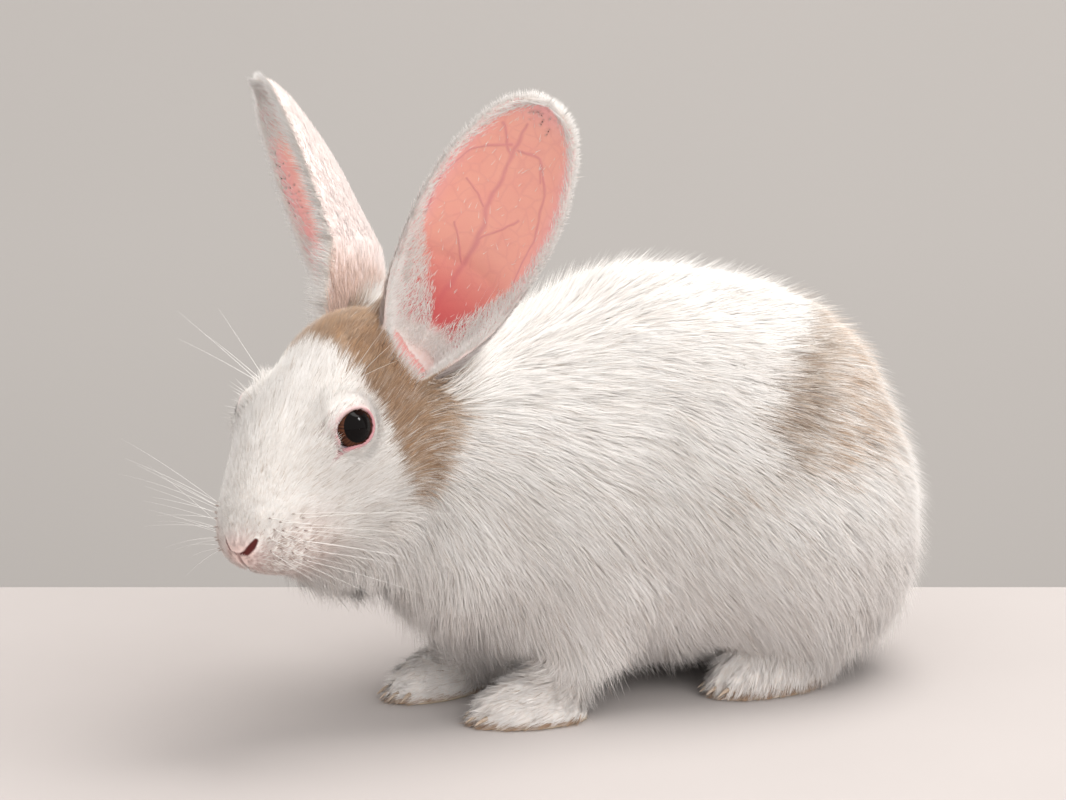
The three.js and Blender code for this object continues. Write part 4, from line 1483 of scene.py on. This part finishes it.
def build_third_lids(material):
    """The pale inner lid that shows in each eye's front corner: a thin cap on the eyeball."""
    axis = unit(math.cos(math.radians(98)) * EYE_LOOK
                + math.sin(math.radians(98)) * unit(-0.82 * EYE_BACK - 0.57 * EYE_UP))
    sideways = unit(np.cross(axis, EYE_UP))
    angles = np.radians(np.concatenate([[0.2], np.arange(4, 48, 4), [50]]))
    spokes = 48
    points, faces = [], []
    for side in SIDES:
        for radius, turn_over in ((EYE_RADIUS + 0.2, False), (EYE_RADIUS - 0.2, True)):
            p, quads = dome(EYE, axis, sideways, lambda a: radius, angles, spokes, side_of_head(side))
            flip = turn_over != (side == "right")
            faces.append((quads[:, ::-1] if flip else quads) + sum(len(x) for x in points))
            points.append(p)
    lids = mesh_piece("third_lids", np.concatenate(points), np.concatenate(faces), material)
    return finish_piece(lids)


def lid_finish():
    finish = Finish("third_lid", {"Roughness": 0.35, "Specular IOR Level": 0.3, "Coat Weight": 0.4})
    blotch = finish.noise(finish.place(), 300.0, 2.0)
    finish.feed("Base Color", finish.mix(blotch, (0.34, 0.28, 0.33), (0.44, 0.37, 0.42)))
    return finish.material


# ---------------------------------------------------------------- claws

CLAW_SIDES, CLAW_ROWS = 10, 9


def claw(start, heading, length, radius):
    """A bent tapering horn, from inside the toe to its point, as rings of points and quads."""
    heading = unit(heading)
    down = along_tangent(vec(0, 0, -1), heading)
    across = np.cross(heading, down)
    t = np.linspace(0, 1, CLAW_ROWS)
    middle = start + heading * (t * length)[:, None] + down * (0.28 * length * t**2)[:, None]
    size = radius * (1 - t) ** 0.7 + 0.04
    turn = np.linspace(0, 2 * np.pi, CLAW_SIDES, endpoint=False)
    ring = 0.8 * np.cos(turn)[:, None] * across + np.sin(turn)[:, None] * down
    points = middle[:, None] + ring * size[:, None, None]
    i, j = np.meshgrid(np.arange(CLAW_ROWS - 1), np.arange(CLAW_SIDES), indexing="ij")
    k = (j + 1) % CLAW_SIDES
    quads = np.stack([i, i, i + 1, i + 1], -1) * CLAW_SIDES + np.stack([j, k, k, j], -1)
    return points.reshape(-1, 3), quads.reshape(-1, 4), np.repeat(t, CLAW_SIDES)


def claw_places():
    """Where each claw starts and which way it points."""
    feet = [(x, y, TOE_IN, FORE_HALF_AXES) for x, y, _ in FORELEGS.values()]
    feet += [(sign * HINDFOOT[0], HINDFOOT[1], 0.0, HIND_HALF_AXES) for sign in SIDES.values()]
    for x, y, toe_in, (wide, long, _) in feet:
        for k in (-1.5, -0.5, 0.5, 1.5):
            across = k * TOE_GAP * 0.8
            ahead = (long - 3.6) * math.sqrt(1 - (across / wide) ** 2)
            heading = from_foot((0.12 * k, -1, -0.12), x, y, toe_in) - vec(x, y, 0)
            yield from_foot((across, -ahead, 3.4), x, y, toe_in), heading


def build_claws(material, length):
    points, faces, along = [], [], []
    for start, heading in claw_places():
        p, quads, t = claw(start, heading, length, 0.9)
        faces.append(quads + sum(len(x) for x in points))
        points.append(p)
        along.append(t)
    claws = mesh_piece("claws", np.concatenate(points), np.concatenate(faces), material)
    set_attribute(claws.data, "along", np.concatenate(along))
    return finish_piece(claws)


# ---------------------------------------------------------------- whiskers

WHISKER_STEPS = 14
WHISKER_LIMIT = -152.5                  # the farthest forward that a whisker may reach


def whisker_lines(rng, longest):
    """Curved lines from the pads and brows, with their thickness at each point."""
    lines = []
    for side in SIDES:
        place = side_of_head(side)
        for row in range(5):
            for column in range(4):
                along = column + 0.8 * (side == "right")
                root = vec(
                    9.9 + 1.9 * along, -36.0 - 1.9 * row + 1.75 * along, 10.4 - 2.3 * row - 1.8 * along)
                root = root + rng.normal(0, 0.55, 3)
                share = (0.45 + 0.55 * column / 3) * rng.uniform(0.7, 1.0)
                if side == "right":
                    heading = vec(0.95, mix(-0.02, 0.30, column / 3), mix(0.35, -0.40, row / 4))
                else:
                    heading = vec(0.52, mix(0.15, 0.55, column / 3), mix(-0.35, -1.1, row / 4))
                lines.append((place, root, heading + rng.normal(0, 0.09, 3), longest * share, 0.06, 0.14))
        for k in range(4):
            root = vec(12.5 + 0.8 * k, 2.5 + 1.6 * k, 16.2 - 0.4 * k)
            heading = vec(0.62 + 0.1 * k, 0.1 + 0.16 * k, 0.62) + rng.normal(0, 0.1, 3)
            lines.append((place, root, heading, longest * rng.uniform(0.5, 0.7), 0.07, 0.0))
        for k in range(9):
            turn = math.radians(35 + 13 * k)
            root = EYE + EYE_RADIUS * 1.08 * unit(
                EYE_LOOK * 0.62 + 0.80 * (math.cos(turn) * EYE_BACK * 1.05 + math.sin(turn) * EYE_UP * 0.86))
            heading = EYE_LOOK * 0.7 + 0.5 * EYE_UP + 0.45 * math.cos(turn) * EYE_BACK
            lines.append((place, root, heading + rng.normal(0, 0.08, 3), rng.uniform(3.5, 5.5), 0.06, 0.0))
    points, thickness, darkness = [], [], []
    for place, root, heading, length, size, swelling in lines:
        surface, outwards = settle(skin_field, place(root)[None])
        surface, outwards = settle(skin_field, surface)
        start, out = surface[0], outwards[0]
        heading = unit(place(root + heading) - place(root))
        droop = vec(0, 0, -1) * 0.16 + BACK * 0.10
        beyond = 1.8 + (length - 1.8) * np.linspace(0.04, 1, WHISKER_STEPS - 4) ** 1.3
        t = np.concatenate([(0, 0.7, 1.2, 1.8), beyond])
        lift = 1.25 * (1 - np.exp(-t / 0.9)) * (swelling > 0)
        t = t / length
        bend = droop * length * (t**2)[:, None] * rng.uniform(0.5, 1.6)
        line = start + heading * (t * length - 0.8 * lift)[:, None] + out * lift[:, None] + bend
        shorter = min(1, (start[1] - WHISKER_LIMIT) / (start[1] - line[:, 1].min()))
        points.append(start + (line - start) * shorter)
        base = ease(t * length, 2.0, 1.2)
        thickness.append(size * (1 - t * 0.9) + swelling * base)
        darkness.append(base * (swelling > 0))
    return tuple(np.stack(a) for a in (points, thickness, darkness))


def tube_tree():
    """Geometry Nodes: round tubes along edge lines, as thick at each point as their attribute says."""
    tree = bpy.data.node_groups.new("tubes", "GeometryNodeTree")
    sockets = (
        ("Lines", "INPUT", "Geometry"), ("Sides", "INPUT", "Int"), ("Material", "INPUT", "Material"),
        ("Tubes", "OUTPUT", "Geometry"),
    )
    for name, way, kind in sockets:
        tree.interface.new_socket(name, in_out=way, socket_type="NodeSocket" + kind)
    new, link = tree.nodes.new, tree.links.new
    given, result = new("NodeGroupInput"), new("NodeGroupOutput")
    curves = new("GeometryNodeMeshToCurve")
    thickness = new("GeometryNodeInputNamedAttribute")
    thickness.data_type = "FLOAT"
    thickness.inputs["Name"].default_value = "thickness"
    profile = new("GeometryNodeCurvePrimitiveCircle")
    profile.inputs["Radius"].default_value = 1.0
    tubes = new("GeometryNodeCurveToMesh")
    tubes.inputs["Fill Caps"].default_value = True
    whole = new("GeometryNodeRealizeInstances")
    coloured = new("GeometryNodeSetMaterial")
    link(given.outputs["Lines"], curves.inputs["Mesh"])
    link(thickness.outputs["Attribute"], tubes.inputs["Scale"])
    link(given.outputs["Sides"], profile.inputs["Resolution"])
    link(curves.outputs["Curve"], tubes.inputs["Curve"])
    link(profile.outputs["Curve"], tubes.inputs["Profile Curve"])
    link(tubes.outputs["Mesh"], whole.inputs["Geometry"])
    link(whole.outputs["Geometry"], coloured.inputs["Geometry"])
    link(given.outputs["Material"], coloured.inputs["Material"])
    link(coloured.outputs["Geometry"], result.inputs["Tubes"])
    return tree


def through_tree(piece, tree, **inputs):
    """Runs a Geometry Nodes tree on a piece and keeps the plain mesh it makes."""
    modifier = piece.modifiers.new(tree.name, "NODES")
    modifier.node_group = tree
    for item in tree.interface.items_tree:
        if item.name in inputs:
            modifier[item.identifier] = inputs[item.name]
    piece.update_tag()
    return plain_mesh(piece)


def build_whiskers(material, longest):
    rng = np.random.default_rng(41)
    points, thickness, darkness = whisker_lines(rng, longest)
    count, steps = points.shape[:2]
    first = np.arange(count)[:, None] * steps + np.arange(steps - 1)
    edges = np.stack([first, first + 1], -1).reshape(-1, 2)
    mesh = bpy.data.meshes.new("whiskers")
    mesh.from_pydata(((points.reshape(-1, 3) + ORIGIN) * MM).tolist(), edges.tolist(), [])
    set_attribute(mesh, "thickness", thickness.ravel() * MM)
    set_attribute(mesh, "root", darkness.ravel())
    whiskers = new_object("whiskers", mesh)
    mesh = through_tree(whiskers, tube_tree(), Sides=6, Material=material)
    mesh.shade_smooth()
    return finish_piece(whiskers)


# ---------------------------------------------------------------- stage

CAMERA_AZIMUTH = math.radians(63)
CAMERA_RISE = math.radians(11)
CAMERA_AIM = vec(0, -21, 95)
EYE_SHINE = unit(vec(0.49, 0.565, 0.66))         # towards the lamp that the eye mirrors near its top


def plain_finish(name, colour, grain):
    finish = Finish(name, {"Roughness": 0.9, "Specular IOR Level": 0.1})
    cloud = finish.noise(finish.place(), grain, 3.0)
    darker = tuple(0.93 * c for c in colour)
    finish.feed("Base Color", finish.mix(cloud, darker, colour))
    return finish.material


def panel(name, corners, material):
    mesh = bpy.data.meshes.new(name)
    mesh.from_pydata([tuple(c) for c in corners], [], [(0, 1, 2, 3)])
    mesh.materials.append(material)
    piece = new_object(name, mesh)
    piece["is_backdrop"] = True
    return piece


def area_light(name, place, aim, size, power, colour):
    light = bpy.data.lights.new(name, "AREA")
    light.shape = "DISK"
    light.size = size
    light.energy = power
    light.color = colour
    lamp = new_object(name, light)
    lamp.location = place
    lamp.rotation_euler = (Vector(aim) - Vector(place)).to_track_quat("-Z", "Y").to_euler()


def build_stage(stage):
    back = vec(math.sin(CAMERA_AZIMUTH) * math.cos(CAMERA_RISE),
               -math.cos(CAMERA_AZIMUTH) * math.cos(CAMERA_RISE), math.sin(CAMERA_RISE))
    away = unit(vec(-back[0], -back[1], 0))
    right = vec(math.cos(CAMERA_AZIMUTH), math.sin(CAMERA_AZIMUTH), 0)
    aim = (CAMERA_AIM + ORIGIN) * MM
    data = bpy.data.cameras.new("camera")
    data.lens = stage.lens
    data.sensor_width = 36
    data.clip_end = 50
    camera = new_object("camera", data)
    camera.location = aim + back * stage.distance
    camera.rotation_euler = Vector(-back).to_track_quat("-Z", "Y").to_euler()
    bpy.context.scene.camera = camera
    far, wide, near = stage.floor_reach, 6.0, 3.0
    floor = [away * far + right * s * wide for s in (-1, 1)]
    floor += [-away * near + right * s * wide for s in (1, -1)]
    panel("floor", floor, plain_finish("floor", stage.floor, 9.0))
    wall = away * (far + 0.9)
    rise = vec(0, 0, 1)
    backdrop = [wall - right * wide - rise, wall + right * wide - rise,
                wall + right * wide + rise * 4, wall - right * wide + rise * 4]
    panel("backdrop", backdrop, plain_finish("backdrop", stage.backdrop, 2.0))
    world = bpy.data.worlds.new("studio")
    world.use_nodes = True
    world.node_tree.nodes["Background"].inputs["Color"].default_value = (*stage.sky, 1)
    world.node_tree.nodes["Background"].inputs["Strength"].default_value = stage.sky_strength
    bpy.context.scene.world = world
    middle = (0, 0, 0.08)
    place = tuple(away * 0.15 + right * 0.5 + rise * 1.5)
    area_light("key", place, middle, 1.3, stage.key_power, (1, 0.97, 0.94))
    place = tuple(-away * 1.3 + right * 0.8 + rise * 0.95)
    area_light("front", place, middle, 1.4, stage.front_power, (1, 0.98, 0.96))
    bpy.data.objects["front"].visible_glossy = False
    place = tuple(EYE_SHINE * 1.6 + vec(0, 0, 0.1))
    area_light("catchlight", place, middle, 0.3, stage.catchlight_power, (1, 1, 1))
    bpy.data.objects["catchlight"].visible_diffuse = False
    area_light("rim", tuple(away * 1.2 - right * 0.4 + rise * 1.2), middle, 0.9, stage.rim_power, (1, 1, 1))
    bpy.context.scene.view_settings.view_transform = "Standard"


# ---------------------------------------------------------------- settings

def length_of(name, description, default, **limits):
    return FloatProperty(name=name, description=description, default=default, unit="LENGTH", **limits)


def colour_of(name, description, default):
    return FloatVectorProperty(
        name=name, description=description, default=default, subtype="COLOR", size=3, min=0, max=1)


class RabbitCoat(bpy.types.PropertyGroup):
    """Lengths, densities and colours of the hair, with painted shade at the white hair's roots and painted
    floor light in its blush.
    """

    body_length: length_of("Body hair", "Length of the tufts on the trunk", 13 * MM)
    head_length: length_of("Head hair", "Length of the tufts on the back of the head", 8 * MM)
    muzzle_length: length_of("Muzzle hair", "Length of the tufts on the muzzle", 2.4 * MM)
    foot_length: length_of("Foot hair", "Length of the tufts on the feet", 5.5 * MM)
    body_width: length_of("Tuft width", "Width of a tuft on the trunk", 0.32 * MM)
    body_density: FloatProperty(
        name="Body density", description="Tufts for each square millimetre of the trunk", default=3.5)
    head_density: FloatProperty(
        name="Head density", description="Tufts for each square millimetre of the head", default=5.5)
    foot_density: FloatProperty(
        name="Foot density", description="Tufts for each square millimetre of the feet", default=3.2)
    white: colour_of("White", "White hair at its tip", (0.975, 0.96, 0.94))
    # The warmer, darker root of white hair is painted shade deep in the coat.
    white_root_shade: colour_of("White root", "White hair at its root", (0.95, 0.89, 0.835))
    tan: colour_of("Tan", "Tan hair at its tip", (0.66, 0.425, 0.24))
    tan_root: colour_of("Tan root", "Tan hair at its root", (0.50, 0.365, 0.26))
    grey: colour_of("Grey", "Grey hair at its tip", (0.60, 0.50, 0.40))
    grey_root: colour_of("Grey root", "Grey hair at its root", (0.45, 0.39, 0.34))
    dark: colour_of("Dark band", "The dark band of tan and grey hair", (0.20, 0.13, 0.085))
    # Low on the trunk the blush is painted warm light bounced from the floor.
    blush: colour_of("Blush", "Skin that shows through thin hair", (0.78, 0.50, 0.46))


class RabbitSkin(bpy.types.PropertyGroup):
    """Colours of bare and thin-haired skin, and of painted shade along the upper lid, in the nostrils and
    along the mouth.
    """

    ear_inner: colour_of("Ear inside", "The hollow of the ears", (0.80, 0.40, 0.32))
    ear_rim: colour_of("Ear margin", "The inside of the ears near their margins", (0.80, 0.42, 0.42))
    ear_flush: colour_of("Ear flush", "Redder blotches in the hollow", (0.74, 0.27, 0.26))
    ear_base: colour_of("Ear base", "Deep in the hollow's lower end", (0.55, 0.10, 0.10))
    ear_vein: colour_of("Ear vein", "Veins in the ears", (0.50, 0.16, 0.22))
    ear_back: colour_of("Ear back", "The outside of the ears", (0.88, 0.74, 0.71))
    lid: colour_of("Lids", "Bare rims of the lids", (0.51, 0.24, 0.26))
    # Painted shade along the upper lid's edge and in its fold.
    lash_line_and_fold_shade: colour_of("Lash line", "The upper lid's edge and fold", (0.16, 0.10, 0.085))
    crease_shade: colour_of("Creases", "Inside the nostrils and the mouth's line", (0.10, 0.012, 0.010))
    # Partly the skin's own dark red, partly painted shade in the nostrils and the mouth's line.
    nose: colour_of("Nose", "The tip of the nose", (0.80, 0.48, 0.43))
    sole: colour_of("Soles", "Stained hair under the feet", (0.66, 0.54, 0.38))


class RabbitEye(bpy.types.PropertyGroup):
    """Colours and pupil of the eyes."""

    pupil_angle: FloatProperty(
        name="Pupil", description="Half the pupil's width in degrees, from the eyeball's middle", default=39)
    iris: colour_of("Iris", "The lighter spokes of the iris", (0.115, 0.042, 0.021))
    iris_dark: colour_of("Dark iris", "The darker spokes of the iris", (0.03, 0.012, 0.008))
    rim: colour_of("Rim", "The dark ring round the iris", (0.012, 0.006, 0.005))
    white: colour_of("White", "The eyeball past the iris", (0.55, 0.47, 0.45))


class RabbitDetails(bpy.types.PropertyGroup):
    """Sizes and colours of claws and whiskers."""

    claw_length: length_of("Claw", "Length of a claw from inside the toe", 4.6 * MM)
    whisker_length: length_of("Whisker", "Length of the longest whiskers", 52 * MM)
    claw_root: colour_of("Claw root", "Horn at the toe", (0.42, 0.32, 0.24))
    claw_tip: colour_of("Claw tip", "Horn at the point", (0.52, 0.42, 0.33))
    whisker: colour_of("Whiskers", "Colour of the whiskers", (0.94, 0.93, 0.91))
    follicle: colour_of("Follicles", "Colour of the whiskers' roots", (0.36, 0.29, 0.26))


class RabbitStage(bpy.types.PropertyGroup):
    """Floor, backdrop, camera and lights."""

    lens: FloatProperty(name="Lens", description="Focal length in millimetres", default=100)
    distance: length_of("Distance", "From the camera to the middle of the picture", 925 * MM)
    floor_reach: length_of("Floor reach", "From the model to the floor's far edge", 0.126)
    floor: colour_of("Floor", "Colour of the floor", (0.485, 0.452, 0.44))
    backdrop: colour_of("Backdrop", "Colour of the backdrop", (0.385, 0.365, 0.35))
    sky: colour_of("Ambient", "Colour of the light from all round", (1.0, 0.98, 0.96))
    sky_strength: FloatProperty(name="Ambient strength", description="Light from all round", default=1.15)
    key_power: FloatProperty(name="Key", description="Watts of the overhead light", default=23)
    front_power: FloatProperty(name="Front", description="Watts of the light beside the camera", default=12)
    catchlight_power: FloatProperty(
        name="Catchlight", description="Watts of the small lamp that the wet eye mirrors", default=9)
    rim_power: FloatProperty(name="Rim", description="Watts of the light behind", default=3)


# ---------------------------------------------------------------- operators

class RABBIT_OT_skin(bpy.types.Operator):
    """Builds the skin that stands for all the nodes of flesh"""

    bl_idname = "rabbit.skin"
    bl_label = "Skin"

    def execute(self, context):
        build_skin(context.scene.rabbit_skin, context.scene.rabbit_coat)
        return {"FINISHED"}


class RABBIT_OT_body_coat(bpy.types.Operator):
    """Grows the coat of the head, trunk, tail and feet on the skin"""

    bl_idname = "rabbit.body_coat"
    bl_label = "Body coat"

    def execute(self, context):
        build_body_coat(coat_finish(context.scene.rabbit_coat))
        return {"FINISHED"}


class RABBIT_OT_ear_coats(bpy.types.Operator):
    """Grows the short coat of both ears"""

    bl_idname = "rabbit.ear_coats"
    bl_label = "Ear coats"

    def execute(self, context):
        # The ears' hair glows with half the ears' painted glow.
        material = coat_finish(context.scene.rabbit_coat, "ear_coat", EAR_GLOW / 2)
        for seed, ear in enumerate(EARS.values(), 51):
            build_ear_coat(ear, material, seed)
        return {"FINISHED"}


class RABBIT_OT_eyes(bpy.types.Operator):
    """Builds both eyeballs and their inner lids"""

    bl_idname = "rabbit.eyes"
    bl_label = "Eyes"

    def execute(self, context):
        material = eye_finish(context.scene.rabbit_eye)
        for side in SIDES:
            build_eye(side, material)
        build_third_lids(lid_finish())
        return {"FINISHED"}


class RABBIT_OT_claws(bpy.types.Operator):
    """Builds the claws of all four feet"""

    bl_idname = "rabbit.claws"
    bl_label = "Claws"

    def execute(self, context):
        details = context.scene.rabbit_details
        build_claws(horn_finish(details), details.claw_length / MM)
        return {"FINISHED"}


class RABBIT_OT_whiskers(bpy.types.Operator):
    """Builds the whiskers, brow hairs and lashes"""

    bl_idname = "rabbit.whiskers"
    bl_label = "Whiskers"

    def execute(self, context):
        details = context.scene.rabbit_details
        build_whiskers(whisker_finish(details), details.whisker_length / MM)
        return {"FINISHED"}


class RABBIT_OT_stage(bpy.types.Operator):
    """Sets up the floor, backdrop, lights and camera"""

    bl_idname = "rabbit.stage"
    bl_label = "Stage"

    def execute(self, context):
        build_stage(context.scene.rabbit_stage)
        return {"FINISHED"}


SETTINGS = {
    "rabbit_coat": RabbitCoat,
    "rabbit_skin": RabbitSkin,
    "rabbit_eye": RabbitEye,
    "rabbit_details": RabbitDetails,
    "rabbit_stage": RabbitStage,
}
OPERATORS = (
    RABBIT_OT_skin, RABBIT_OT_body_coat, RABBIT_OT_ear_coats, RABBIT_OT_eyes,
    RABBIT_OT_claws, RABBIT_OT_whiskers, RABBIT_OT_stage,
)


class RABBIT_PT_panel(bpy.types.Panel):
    """Lists the rabbit's settings and the operators that build it."""

    bl_idname = "RABBIT_PT_panel"
    bl_label = "Sitting rabbit"
    bl_space_type = "VIEW_3D"
    bl_region_type = "UI"
    bl_category = "Rabbit"

    def draw(self, context):
        for name, group in SETTINGS.items():
            box = self.layout.box()
            box.label(text=group.__doc__)
            for setting in group.__annotations__:
                box.prop(getattr(context.scene, name), setting)
        for operator in OPERATORS:
            self.layout.operator(operator.bl_idname)


def register():
    for group in (*SETTINGS.values(), *OPERATORS, RABBIT_PT_panel):
        bpy.utils.register_class(group)
    for name, group in SETTINGS.items():
        setattr(bpy.types.Scene, name, PointerProperty(type=group))


def unregister():
    for name in SETTINGS:
        delattr(bpy.types.Scene, name)
    for group in reversed((*SETTINGS.values(), *OPERATORS, RABBIT_PT_panel)):
        bpy.utils.unregister_class(group)


def write_size():
    """Makes a table of the CAD model's box and the visual model's box, in metres; nothing is written or kept.
    """
    boxes = {"cad": CAD_BOX, "visual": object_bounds()}
    {name: [list(corner) for corner in box] for name, box in boxes.items()}


def main():
    register()
    for operator in OPERATORS:
        group, name = operator.bl_idname.split(".")
        getattr(getattr(bpy.ops, group), name)()
    write_size()


if __name__ == "__main__":
    main()
